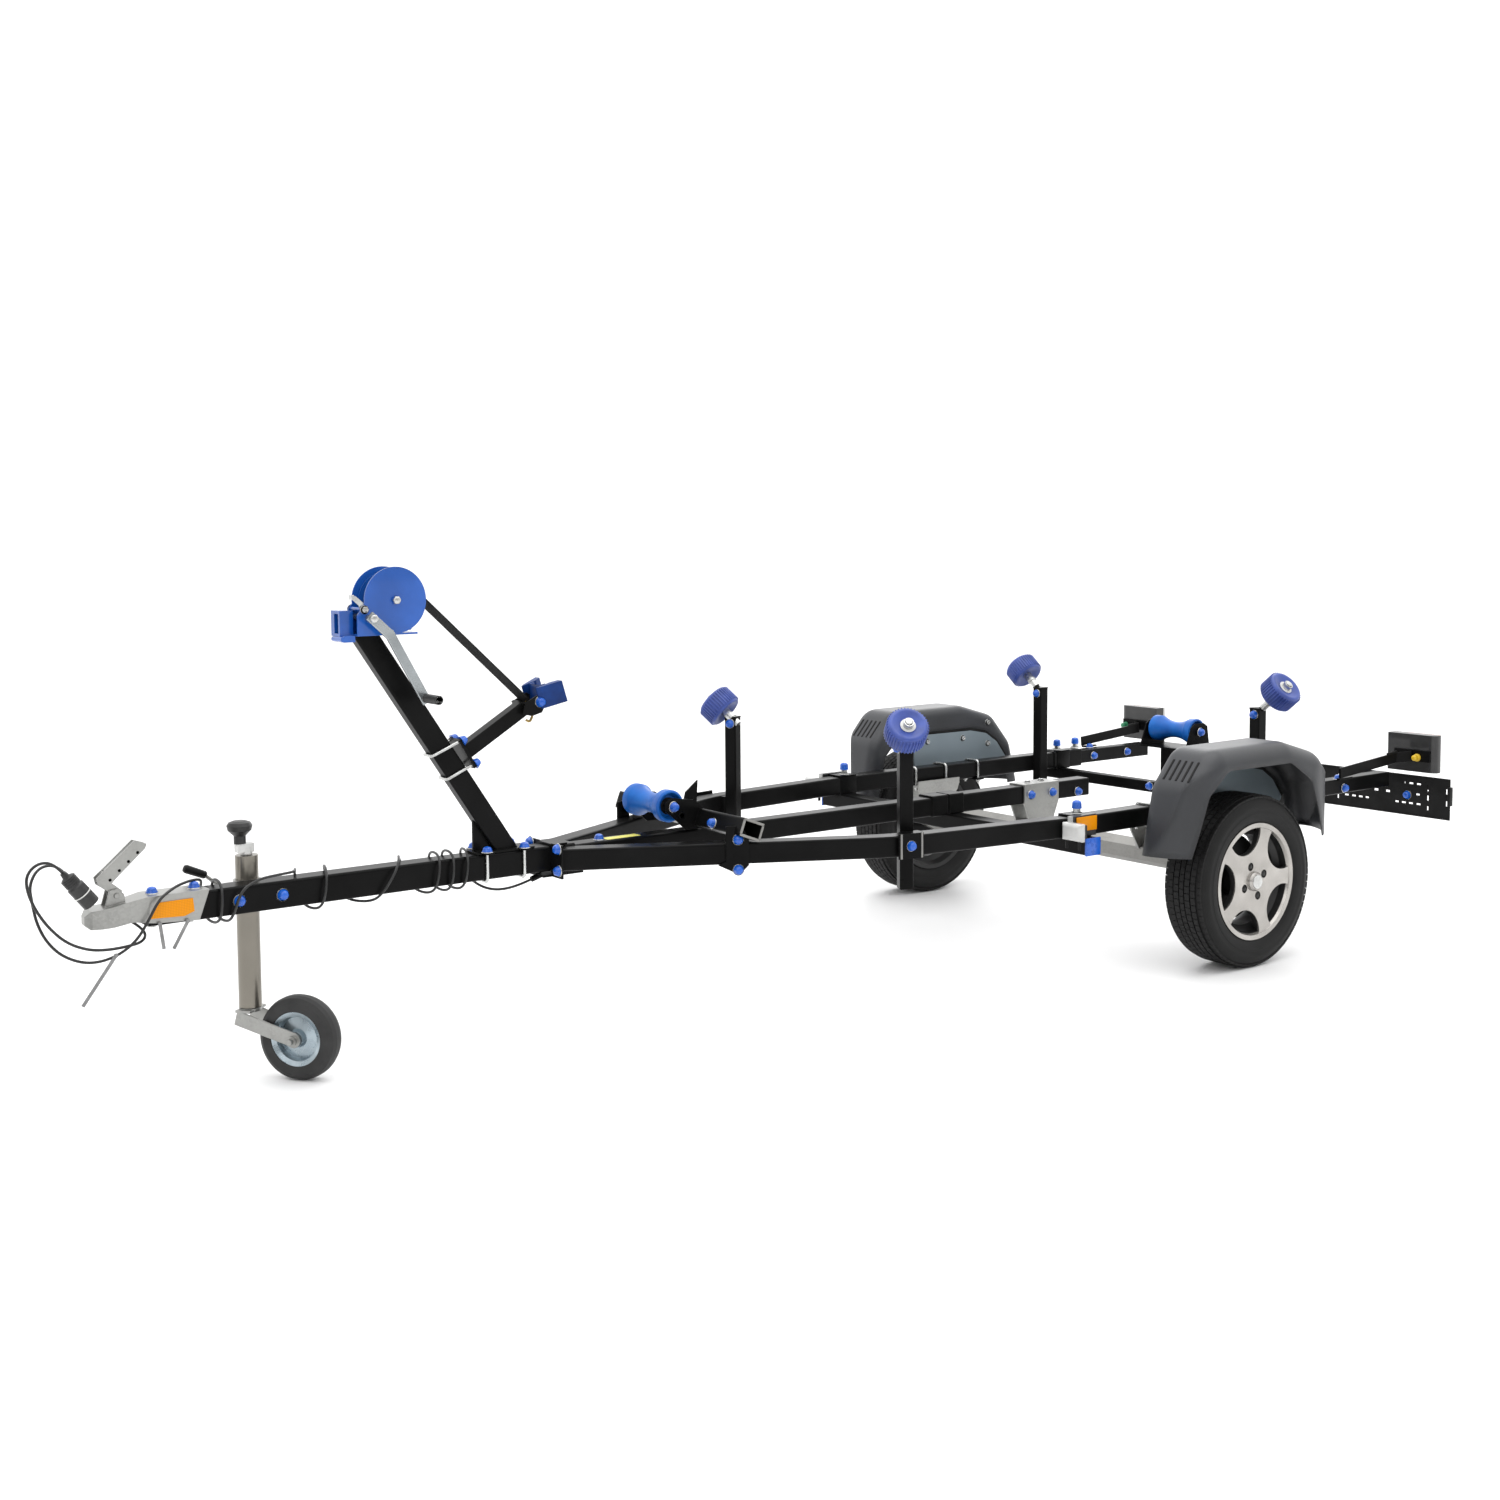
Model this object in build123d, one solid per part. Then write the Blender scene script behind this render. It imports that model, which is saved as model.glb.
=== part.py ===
from build123d import *
from math import cos, radians, sin, tan
import os

os.makedirs("parts", exist_ok=True)

# Boat trailer. Millimetres, +Z up, the nose of the coupling towards -X, floor at Z = 0.
# The pieces are drawn with X measured from the road wheels' axle and moved back by AXLE_X when written,
# which puts the origin at the middle of the trailer without its electric lead.
AXLE_X = 1074.0

# Road wheels, 13 inch
TRACK = 1470.0
TYRE_R = 270.0
TYRE_W = 155.0
RIM_R = 182.5
BOLT_PCD = 100.0
BOLT_COUNT = 4
BOLT_TURN = 21.0
WINDOWS = 5
WINDOW_TURN = 36.0
WINDOW_R = 75.0
WINDOW_AT = 168.0

# Square tubes
DRAWBAR = 70.0
RAIL = 60.0
EXTENSION = 51.0
POST = 40.0
RAIL_Z = 470.0
DRAWBAR_Z = 471.0
DRAWBAR_FRONT = -3156.0
DRAWBAR_REAR = -1980.0
GROMMET = Vector(-2100, 0, 414)
LEAD_SECOND = Vector(-2158, -4, 398)
BEAM_REAR = 90.0
RAIL_REAR = 644.0
EXTENSION_REAR = 1040.0
RAIL_Y = 550.0

# Axle tube, six-sided
AXLE_TUBE_X = -148.0
AXLE_TUBE_Z = 335.0
AXLE_FLATS = 70.0

# Jockey wheel
JOCKEY_X = -2874.0
JOCKEY_Y = 72.0
JOCKEY_R = 107.0
JOCKEY_TRAIL = 141.0
JOCKEY_SWIVEL = 53.0
JOCKEY_TUBE_R = 28.5
JOCKEY_SCREW_TUBE_R = 25.0

# Coupling for a 50 mm ball
BALL_R = 25.0
BALL_X = -3262.0
BALL_Z = 461.0
LEVER_PIN = (-3224, 0, 518)

# Rollers
SIDE_R = 62.0
SIDE_L = 69.0
SIDE_TILT = 40.0
KEEL_R = 46.0
KEEL_WAIST_R = 28.5
PIN_R = 9.95
BORE_R = 10.0


def box(x0, x1, y0, y1, z0, z1):
    """Block between its lower and upper corners."""
    return Pos((x0 + x1) / 2, (y0 + y1) / 2, (z0 + z1) / 2) * Box(x1 - x0, y1 - y0, z1 - z0)


def bar(p, q, w, h, r=5.0, t=0.0, yaw=0.0, roll=0.0):
    """Bar from p to q, w across and h high, corner radius r; hollow with wall t when t is given."""
    a, b = Vector(*p), Vector(*q)
    d = (b - a).normalized()
    upright = abs(d.Z) > 0.99
    turn = radians(yaw)
    side = Vector(cos(turn), sin(turn), 0) if upright else d.cross(Vector(0, 0, 1)).normalized()
    section = RectangleRounded(w, h, r)
    if t:
        section -= RectangleRounded(w - 2 * t, h - 2 * t, max(r - t, 1.0))
    plane = Plane(origin=a, x_dir=side, z_dir=d)
    return extrude(plane * (Rot(0, 0, roll) * section), (b - a).length)


def rod(p, q, r):
    """Round rod from p to q."""
    a, b = Vector(*p), Vector(*q)
    return extrude(Plane(origin=a, z_dir=(b - a).normalized()) * Circle(r), (b - a).length)


def side_plate(points, y0, y1, r=0.0):
    """Plate standing along X, from its outline of (x, z) points, between y0 and y1."""
    outline = make_face(Polyline(*points, close=True))
    if r:
        outline = fillet(outline.vertices(), r)
    face = Plane(origin=(0, y1, 0), x_dir=(1, 0, 0), z_dir=(0, -1, 0)) * outline
    return extrude(face, y1 - y0)


def turned(points, centre, axis):
    """Solid turned about axis through centre from its outline of (along, radius) points."""
    outline = make_face(Polyline(*points, close=True))
    solid = revolve(Plane.XZ * outline, Axis.X, 360)
    return Plane(origin=centre, x_dir=(0, 0, 1) if abs(axis[2]) < 0.99 else (1, 0, 0),
                 z_dir=axis) * (Rot(0, -90, 0) * solid)


def both(shape):
    """The piece and its twin on the other side."""
    return [shape, mirror(shape, Plane.XZ)]


extents = []


def write(name, *shapes):
    """Writes a node's solids, moved to the part's own origin."""
    solids = [s for shape in shapes for s in (shape.solids() if hasattr(shape, "solids") else shape)]
    node = Compound(children=[s.moved(Location((AXLE_X, 0, 0))) for s in solids])
    export_step(node, f"parts/{name}.step")
    extent = node.bounding_box()
    size = extent.size
    extents.append(extent)
    print(f"{name:24s} solids {len(solids)}  {size.X:7.1f} {size.Y:7.1f} {size.Z:7.1f}")


# ---------------------------------------------------------------- coupling and drawbar

COUPLING_REAR = -3009
side = make_face(Polyline((-3298, 456), (-3298, 476), (-3286, 489), (-3240, 494), (-3195, 502), (-3155, 510),
                          (COUPLING_REAR, 510), (COUPLING_REAR - 26, 438), (-3140, 444), (-3190, 452),
                          (-3236, 446), (-3288, 446), close=True))
plan = make_face(Polyline((-3298, -12), (-3298, 12), (-3284, 30), (-3262, 36), (-3200, 32), (-3155, 39),
                          (COUPLING_REAR, 39), (COUPLING_REAR, -39), (-3155, -39), (-3200, -32), (-3262, -36),
                          (-3284, -30), close=True))
coupling = extrude(Plane(origin=(0, 39, 0), x_dir=(1, 0, 0), z_dir=(0, -1, 0)) * side, 78)
coupling &= Pos(0, 0, 430) * extrude(plan, 100)
coupling -= box(DRAWBAR_FRONT - 1, -3000, -35, 35, 430, 506)
coupling -= Pos(BALL_X, 0, BALL_Z) * Sphere(BALL_R + 0.5)
coupling -= Pos(BALL_X, 0, 440) * Cylinder(BALL_R + 0.5, 40)
for hinge_y in (-15.5, 15.5):
    coupling += side_plate([(-3252, 490), (-3204, 498), (-3206, 520), (-3222, 534), (-3240, 532)],
                           hinge_y - 2.5, hinge_y + 2.5)
coupling -= Pos(*LEVER_PIN) * Rot(90, 0, 0) * Cylinder(6.05, 60)
write("coupling_head", coupling)

lever = rod((-3224, -22, 518), (-3224, 22, 518), 6.0)
lever_side = [(-3212, 507), (-3209, 528), (-3232, 548), (-3220, 560), (-3152, 622), (-3148, 633), (-3176, 643),
              (-3243, 584), (-3268, 563), (-3264, 546), (-3241, 529), (-3237, 511)]
for y0, y1 in ((-12.5, -9.5), (9.5, 12.5)):
    lever += side_plate(lever_side, y0, y1)
lever += bar((-3246, 0, 577), (-3172, 0, 641), 22, 3, 0.8)
lever += bar((-3262, 0, 552), (-3248, 0, 577), 22, 3, 0.8)
write("coupling_lever", lever)

write("drawbar", bar((DRAWBAR_FRONT, 0, DRAWBAR_Z), (DRAWBAR_REAR, 0, DRAWBAR_Z), DRAWBAR, DRAWBAR, 8, 4))

# ---------------------------------------------------------------- jockey wheel

swivel = radians(JOCKEY_SWIVEL)
fork_dir = Vector(cos(swivel), -sin(swivel), 0)
fork_side = Vector(sin(swivel), cos(swivel), 0)
tube_foot = Vector(JOCKEY_X, JOCKEY_Y, 0)
jockey_hub = tube_foot + fork_dir * JOCKEY_TRAIL + Vector(0, 0, JOCKEY_R)

TUBE_TOP = 556
bracket = box(JOCKEY_X - 78, JOCKEY_X + 78, 35, 41, 438, 504)
bracket += Pos(JOCKEY_X, JOCKEY_Y, 471) * Cylinder(JOCKEY_TUBE_R + 6, 60)
bracket += box(JOCKEY_X - 27, JOCKEY_X + 27, 38, JOCKEY_Y, 441, 501)
for ear_y in (-8, 8):
    bracket += box(JOCKEY_X - 56, JOCKEY_X - 24, JOCKEY_Y + ear_y - 4, JOCKEY_Y + ear_y + 4, 446, 496)
bracket -= Pos(JOCKEY_X, JOCKEY_Y, 471) * Cylinder(JOCKEY_TUBE_R + 0.05, 80)
bracket += rod((JOCKEY_X - 44, JOCKEY_Y - 16, 471), (JOCKEY_X - 44, JOCKEY_Y + 24, 471), 7)
bracket += rod((JOCKEY_X - 44, JOCKEY_Y + 22, 471), (-2975, 97, 520), 5)
bracket += rod((-2971, 97, 518), (-3023, 97, 541), 9)
write("jockey_bracket", bracket)

outer = Pos(JOCKEY_X, JOCKEY_Y, (176 + TUBE_TOP) / 2) * Cylinder(JOCKEY_TUBE_R, TUBE_TOP - 176)
outer -= Pos(JOCKEY_X, JOCKEY_Y, (176 + TUBE_TOP) / 2) * Cylinder(JOCKEY_TUBE_R - 3, TUBE_TOP)
outer += Pos(JOCKEY_X, JOCKEY_Y, TUBE_TOP + 3) * Cylinder(JOCKEY_TUBE_R, 6)
outer -= Pos(JOCKEY_X, JOCKEY_Y, TUBE_TOP) * Cylinder(10.05, 30)
write("jockey_outer_tube", outer)

inner = Pos(JOCKEY_X, JOCKEY_Y, 358) * Cylinder(JOCKEY_SCREW_TUBE_R, 348)
inner -= Pos(JOCKEY_X, JOCKEY_Y, 368) * Cylinder(JOCKEY_SCREW_TUBE_R - 3, 348)
inner += Pos(JOCKEY_X, JOCKEY_Y, 180) * Cylinder(10, 12)
write("jockey_inner_tube", inner)

FORK_HALF = 34.5
fork = Pos(JOCKEY_X, JOCKEY_Y, 170) * Cylinder(JOCKEY_TUBE_R, 8)
for s in (-1, 1):
    foot = tube_foot + fork_side * (s * FORK_HALF)
    start = foot - fork_dir * 20 + Vector(0, 0, 153)
    end = jockey_hub + fork_side * (s * FORK_HALF)
    fork += bar(tuple(start), tuple(end + fork_dir * 4), 5, 38, 2.0)
    fork += rod(tuple(end - fork_side * 2.5), tuple(end + fork_side * 2.5), 19)
    fork += rod(tuple(end), tuple(end + fork_side * (s * 12)), 12)
crown_a = tube_foot - fork_side * 37 + Vector(0, 0, 169.5)
crown_b = tube_foot + fork_side * 37 + Vector(0, 0, 169.5)
fork += bar(tuple(crown_a), tuple(crown_b), 42, 7, 1.5)
fork += rod(tuple(jockey_hub - fork_side * 58), tuple(jockey_hub + fork_side * 58), 7.95)
write("jockey_fork", fork)

spin = (fork_side.X, fork_side.Y, 0)
hub_at = tuple(jockey_hub)
write("jockey_tyre", turned([(-27.5, 70.2), (-27.5, 92), (-20, 103), (-8, JOCKEY_R), (8, JOCKEY_R), (20, 103),
                             (27.5, 92), (27.5, 70.2), (18, 64.8), (-18, 64.8)], hub_at, spin))
write("jockey_rim", turned([(-27, 8), (-27, 20), (-12, 24), (-6, 52), (-20, 57), (-26, 69), (-17, 64),
                            (17, 64), (26, 69), (20, 57), (6, 52), (12, 24), (27, 20), (27, 8)],
                           hub_at, spin))

# The screw's head is a folding crank: a stub on the spindle, an arm forward, a knob at its end
KNOB_BACK = -16
handle = Pos(JOCKEY_X, JOCKEY_Y, 460) * Cylinder(10, 210)
handle += Pos(JOCKEY_X, JOCKEY_Y, 573) * Cylinder(15, 18)
handle += box(JOCKEY_X - 26, JOCKEY_X + 16, JOCKEY_Y - 13, JOCKEY_Y + 13, 570, 592)
handle += turned([(0, 0), (0, 15), (22, 15), (36, 29), (48, 32), (56, 27), (60, 16), (60, 0)],
                 (JOCKEY_X + KNOB_BACK, JOCKEY_Y, 590), (0, 0, 1))
write("jockey_handle", handle)

# ---------------------------------------------------------------- winch, post and bow stop

LEAN = 0.66
POST_ACROSS = 40
POST_ALONG = 60


def post_x(z):
    """Middle line of the leaning post."""
    return -2281 - LEAN * (z - 656)


post = bar((post_x(430), 0, 430), (post_x(1180), 0, 1180), POST_ACROSS, POST_ALONG, 6, 4)
post &= box(-2900, -1900, -200, 200, 506, 1105)
post += box(-2283, -2108, -34, 34, 506, 512)
post += side_plate([(-2278, 510), (-2278, 596), (-2235, 596), (-2160, 510)], -4, 4)
write("winch_post", post)

WINCH_X = -2506
WINCH_Z = 1194
WINCH_HALF = 40
CHEEK_R = 85.6
PINION = (-2581, 1150)
frame = box(-2612, -2446, -WINCH_HALF, WINCH_HALF, 1105, 1110)
for y0, y1 in ((-WINCH_HALF, -WINCH_HALF + 4), (WINCH_HALF - 4, WINCH_HALF)):
    at = Plane(origin=(WINCH_X, y1, WINCH_Z), x_dir=(1, 0, 0), z_dir=(0, -1, 0))
    cheek = extrude(at * Circle(CHEEK_R), 4)
    cheek += side_plate([(-2612, 1105), (-2612, 1158), (-2588, 1190), (WINCH_X, 1200), (WINCH_X, 1105)],
                        y0, y1)
    frame += cheek - box(-2700, -2300, y0 - 1, y1 + 1, 1000, 1105)
frame += rod((-2592, -WINCH_HALF, 1172), (-2592, WINCH_HALF, 1172), 6)
frame += rod((-2468, -WINCH_HALF, 1122), (-2468, WINCH_HALF, 1122), 6)
guard_box = box(-2648, -2612, -14, WINCH_HALF, 1105, 1170) - box(-2660, -2618, -4, 20, 1112, 1162)
frame += guard_box
frame += box(-2644, -2614, -30, 30, 1090, 1107)
frame += rod((-2646, -30, 1098), (-2646, 30, 1098), 7)
frame -= rod((WINCH_X, -90, WINCH_Z), (WINCH_X, 90, WINCH_Z), 10.05)
frame -= rod((PINION[0], -90, PINION[1]), (PINION[0], 90, PINION[1]), 9.05)
write("winch_frame", frame)

write("winch_drum", turned([(-46, 0), (-46, 10), (-32, 10), (-32, 70), (-29, 70), (-29, 54),
                            (27, 54), (27, 70), (31, 70), (31, 10), (46, 10), (46, 0)],
                           (WINCH_X, 0, WINCH_Z), (0, -1, 0)))

crank = rod((PINION[0], -72, PINION[1]), (PINION[0], 46, PINION[1]), 9)
crank += bar((-2591, -66, 1158), (-2532, -66, 1104), 8, 26, 2)
crank += bar((-2539, -66, 1114), (-2436, -66, 928), 8, 26, 2)
crank += rod((-2442, -64, 940), (-2442, -74, 940), 8)
crank += rod((-2442, -72, 940), (-2442, -146, 940), 12)
write("winch_crank", crank)

STRAP_ROLL = -8
strap = bar((-2465, 0, 1238), (-2107, 0, 905), 48, 2.5, 0.8, roll=STRAP_ROLL)
write("winch_strap", strap)

arm = bar((-2302, 0, 781), (-2118, 0, 891), POST, POST, 4, 3)
arm += bar((-2307, 0, 778), (-2300, 0, 782.2), 66, 90, 3)
arm += bar((-2124, 0, 887.4), (-2118, 0, 891), 74, POST, 2)
for y0, y1 in ((-37, -32), (32, 37)):
    arm += side_plate([(-2140, 874), (-2128, 906), (-2088, 926), (-2062, 908), (-2080, 876), (-2110, 868)],
                      y0, y1)
write("snubber_arm", arm)

wedge = make_face(Polyline((-2, 0), (-2, 24), (24, 48), (80, 72), (80, 50), (36, 22), (36, -22), (80, -50),
                           (80, -72), (24, -48), (-2, -24), close=True))
stop = Pos(-2096, 0, 882) * Rot(0, -17, 0) * extrude(wedge, 60)
stop -= box(-2160, -2079, -38, 38, 850, 970)
for y0, y1 in ((-38, -31), (31, 38)):
    stop -= box(-2160, -2055, y0, y1, 850, 970)
stop -= bar((-2200, 0, 991), (-2080, 0, 880), 60, 40, 1)
write("bow_stop", stop)

# ---------------------------------------------------------------- rails, beam and cross members

route = FilletPolyline((-2150, -11.5), (-1182.6, 472.2), (-548, RAIL_Y), (RAIL_REAR, RAIL_Y), radius=540)
start = Plane(origin=(-2150, -11.5, RAIL_Z), x_dir=(0.4472, -0.8944, 0), z_dir=(0.8944, 0.4472, 0))
hollow = RectangleRounded(RAIL, RAIL, 7) - RectangleRounded(RAIL - 8, RAIL - 8, 3)
rail = sweep(start * hollow, path=Pos(0, 0, RAIL_Z) * route)
rail -= box(-2400, -1800, -200, 35, 400, 540)
rail -= box(-2400, -2050, -200, 200, 400, 540)
sleeve = bar((494, RAIL_Y, RAIL_Z), (RAIL_REAR, RAIL_Y, RAIL_Z), RAIL + 6, RAIL + 6, 9, 4)
write("side_rails", *both(rail + sleeve))

slide = bar((430, RAIL_Y, RAIL_Z), (EXTENSION_REAR, RAIL_Y, RAIL_Z), EXTENSION, EXTENSION, 5, 3)
write("rail_extensions", *both(slide))

beam = bar((DRAWBAR_REAR, 0, RAIL_Z), (BEAM_REAR, 0, RAIL_Z), RAIL, RAIL, 7, 4)
for x0, x1 in ((-644, -579), (-570, -508)):
    beam += bar((x0, 0, RAIL_Z + 2), (x1, 0, RAIL_Z + 2), RAIL + 8, RAIL + 8, 6, 5)
beam -= box(-600, -480, -40, 40, 400, 440)
write("centre_beam", beam)

clamp = box(-2058, -2010, -42, 42, 506, 512)
clamp += box(-2085, -1958, -40, 40, 422, 428)
for s in (-1, 1):
    y0, y1 = sorted((s * 35.2, s * 92))
    clamp += box(-2058, -2052, y0, y1, 422, 514)
lead_way = (LEAD_SECOND - GROMMET).normalized()
clamp += rod(tuple(GROMMET - lead_way * 33), tuple(GROMMET), 8)
write("drawbar_clamp", clamp)

cross = bar((-539, -622, 415), (-539, 622, 415), 60, 50, 6, 3)
cross_rear = bar((540, -600, 417), (540, 600, 417), POST, POST, 5, 3)
write("cross_members", cross, cross_rear)

# ---------------------------------------------------------------- axle and wheels

hexagon = RegularPolygon(AXLE_FLATS / 2, 6, major_radius=False, rotation=30)
hexagon = Pos(AXLE_TUBE_X, AXLE_TUBE_Z) * hexagon
axle = extrude(Plane(origin=(0, 620, 0), x_dir=(1, 0, 0), z_dir=(0, -1, 0)) * hexagon, 1240)
for s in (-1, 1):
    y0, y1 = sorted((s * 620, s * 644))
    axle += side_plate([(-186, 318), (-172, 372), (-128, 378), (26, 292), (26, 244), (-20, 240)], y0, y1, 12)
    axle += rod((0, s * 640, TYRE_R), (0, s * 672, TYRE_R), 30)
    axle += rod((0, s * 670, TYRE_R), (0, s * 762, TYRE_R), 16.95)
write("axle", axle)

for label, s in (("left", -1), ("right", 1)):
    mid = (0, s * TRACK / 2, TYRE_R)
    out = (0, s, 0)
    tyre = turned([(-61.5, 170.5), (-65.6, 183.4), (-74, 194), (-TYRE_W / 2, 215), (-75, 243),
                   (-60, 264), (-40, TYRE_R), (40, TYRE_R), (60, 264), (75, 243), (TYRE_W / 2, 215),
                   (74, 194), (65.6, 183.4), (61.5, 170.5), (50, 170.5), (66, 212), (63, 240),
                   (48, 254), (-48, 254), (-63, 240), (-66, 212), (-50, 170.5)], mid, out)
    write(f"tyre_{label}", tyre)
    barrel = turned([(-68, 168), (-70, RIM_R), (-66, RIM_R), (-62, 170), (-40, 166), (-24, 148),
                     (16, 148), (34, 166), (62, 170), (66, RIM_R), (70, RIM_R), (69, 168),
                     (60, 163), (38, 160), (24, 142), (-28, 142), (-44, 159)], mid, out)
    disc = turned([(48, 28), (46, 60), (42, 140), (54, 167), (66.5, 169), (66, 150), (63, 60), (62, 28)],
                  mid, out)
    face = Plane(origin=mid, x_dir=(1, 0, 0), z_dir=out)
    window = Pos(WINDOW_AT, 0) * Circle(WINDOW_R) & Circle(RIM_R - 11)
    for i in range(WINDOWS):
        disc -= extrude(face * (Rot(0, 0, WINDOW_TURN + 360 / WINDOWS * i) * window), 80)
    for i in range(BOLT_COUNT):
        a = radians(BOLT_TURN + 360 / BOLT_COUNT * i) * s
        disc -= extrude(face * (Pos(BOLT_PCD / 2 * cos(a), -BOLT_PCD / 2 * sin(a)) * Circle(13)), 80)
    hub = turned([(-14, 17), (-14, 62), (2, 66), (30, 64), (48, 64), (48, 30), (68, 30), (74, 25),
                  (77, 0), (34, 0), (34, 17)], mid, out)
    write(f"rim_{label}", barrel + disc + hub)

# ---------------------------------------------------------------- mudguards

# Outline over the wheel, the opening through the outer wall and the one through the inner wall; (x, z)
ARCH = [(-362, 362), (-312, 585), (-215, 694), (130, 696), (292, 650), (388, 540), (428, 385)]
OPENING = [(-300, 340), (-246, 560), (-180, 632), (130, 632), (232, 570), (330, 340)]
INNER_OPENING = [(-300, 340), (-262, 530), (-190, 602), (170, 604), (246, 588), (302, 552),
                 (350, 490), (372, 340)]
GUARD_IN = 640
GUARD_OUT = 835
GUARD_WALL = 4
OUTER_EDGE = 58
ARCH_BEND = 80
INNER_EDGE = 34
# Radius of the guard's outer corners seen from above
NOSE_R = 188
# Radius of the corners of the opening over the wheel
OPENING_CORNER_R = 48
# Height of the guard's lower ends
FOOT_Z = 372


def arch_block(inset, y0, y1, outer_edge=0, inner_edge=0):
    """Solid under the mudguard's arch, drawn in by inset, its long edges rounded."""
    line = FilletPolyline(*ARCH, radius=ARCH_BEND)
    closed = make_face(line + Line(line @ 1, line @ 0))
    shape = offset(closed, -inset, kind=Kind.ARC) if inset else closed
    block = extrude(Plane(origin=(0, y1, 0), x_dir=(1, 0, 0), z_dir=(0, -1, 0)) * shape, y1 - y0)
    for y, radius in ((y1, outer_edge), (y0, inner_edge)):
        rims = [e for e in block.edges() if abs(e.center().Y - y) < 0.01 and e.center().Z > 400]
        block = fillet(rims, radius)
    return block & plan_block(inset, y1)


def plan_block(inset, outer):
    """Upright block with the guard's outline from above: straight inside, its two outer corners round."""
    x0, x1 = ARCH[0][0] + inset, ARCH[-1][0] - inset
    round_r = NOSE_R - inset
    plan = make_face(Polyline((x0, 600), (x0, outer), (x1, outer), (x1, 600), close=True))
    plan = fillet([v for v in plan.vertices() if v.Y > outer - 1], round_r)
    return Pos(0, 0, 300) * extrude(plan, 450)


def wall_opening(outline, radius, y0, y1):
    """Opening through a wall of the guard, its upper corners rounded."""
    face = make_face(Polyline(*outline, close=True))
    face = fillet([v for v in face.vertices() if v.Y > 400], radius)
    return extrude(Plane(origin=(0, y1, 0), x_dir=(1, 0, 0), z_dir=(0, -1, 0)) * face, y1 - y0)


hollow = arch_block(GUARD_WALL, GUARD_IN + GUARD_WALL, GUARD_OUT - GUARD_WALL, OUTER_EDGE - GUARD_WALL,
                    INNER_EDGE - GUARD_WALL)
guard = arch_block(0, GUARD_IN, GUARD_OUT, OUTER_EDGE, INNER_EDGE) - hollow - Pos(0, 0, -30) * hollow
guard -= box(-500, 500, 600, 900, 300, FOOT_Z)
guard -= wall_opening(INNER_OPENING, 20, GUARD_IN - 10, GUARD_IN + 10)
guard -= wall_opening(OPENING, OPENING_CORNER_R, GUARD_OUT - 80, GUARD_OUT + 20)
write("mudguards", *both(guard))

# Plate that closes the inner opening and carries the guard, with a foot on the rail's bracket
carrier = side_plate([(-122, 436), (-122, 592), (-90, 600), (164, 600), (242, 585), (298, 549),
                      (346, 488), (334, 470), (-30, 470), (-30, 436)], 634, 639.5)
carrier += box(-100, -30, 608, 639.5, 436, 444)
write("mudguard_brackets", *both(carrier))

# ---------------------------------------------------------------- axle brackets

saddle = box(-230, -66, -36, 36, 500, 505)
for s in (-1, 1):
    y0, y1 = sorted((s * 30.2, s * 36))
    saddle += side_plate([(-230, 505), (-66, 505), (-66, 440), (-106, 345), (-190, 345), (-230, 440)], y0, y1)
saddle -= extrude(Plane(origin=(0, 100, 0), x_dir=(1, 0, 0), z_dir=(0, -1, 0)) * hexagon, 200)
saddles = [saddle]
for s in (-1, 1):
    y0, y1 = sorted((s * 492, s * 498))
    y2, y3 = sorted((s * 602, s * 608))
    top = sorted((s * 492, s * 608))
    shoe = box(-231, -30, top[0], top[1], 434, 440)
    for a, b in ((y0, y1), (y2, y3)):
        shoe += side_plate([(-231, 440), (-30, 440), (-40, 412), (-108, 350), (-188, 350), (-224, 412)], a, b)
        shoe += box(-231, -30, a, b, 434, 456)
    shoe -= extrude(Plane(origin=(0, 700, 0), x_dir=(1, 0, 0), z_dir=(0, -1, 0)) * hexagon, 1400)
    saddles.append(shoe)
write("axle_brackets", *saddles)

# ---------------------------------------------------------------- posts and side rollers

# name; post x, y, foot z, top z and yaw; roller x, y and z; turn of the stem forward
corners = [
    ("front", -1107, 421, 330, 757, 27, -1134, 457, 793, 28),
    ("rear", 397, 499.5, 405, 757, 0, 397, 588, 819, 0),
]
posts = []
for name, px, py, z0, z1, yaw, rx, ry, rz, az in corners:
    el = radians(SIDE_TILT)
    a = Vector(-sin(radians(az)) * cos(el), cos(radians(az)) * cos(el), sin(el))
    centre = Vector(rx, ry, rz)
    column = bar((px, py, z0), (px, py, z1), POST, POST, 4, 3, yaw=yaw)
    if yaw:
        column += Pos(px, py + 22, RAIL_Z) * Rot(0, 0, 9) * Box(66, 20, 56)
        column -= sweep(start * Rectangle(RAIL, RAIL), path=Pos(0, 0, RAIL_Z) * route)
    to_post = (Vector(rx, ry, 0) - Vector(px, py, 0)).length + 3
    pin = rod(tuple(centre - a * (to_post / cos(el))), tuple(centre + a * 44), PIN_R)
    collar = rod(tuple(centre - a * 60), tuple(centre - a * (SIDE_L / 2 - 9)), 15)
    nut = rod(tuple(centre + a * (SIDE_L / 2 - 8)), tuple(centre + a * 44), 14)
    cap = Pos(px, py, z1 + 2) * Rot(0, 0, yaw) * Box(POST, POST, 4)
    posts += both(column + cap + pin + collar + nut)
    h = SIDE_L / 2
    shape = [(-h + 10, BORE_R), (-h + 10, 24), (-h, 44), (-h + 2, 54), (-h + 12, SIDE_R - 1), (0, SIDE_R),
             (h - 12, SIDE_R - 1), (h - 2, 54), (h, 44), (h - 9, 24), (h - 9, BORE_R)]
    roller = turned(shape, tuple(centre), tuple(a))
    write(f"side_roller_{name}_right", roller)
    write(f"side_roller_{name}_left", mirror(roller, Plane.XZ))
write("roller_posts", *posts)

# ---------------------------------------------------------------- keel rollers

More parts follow.
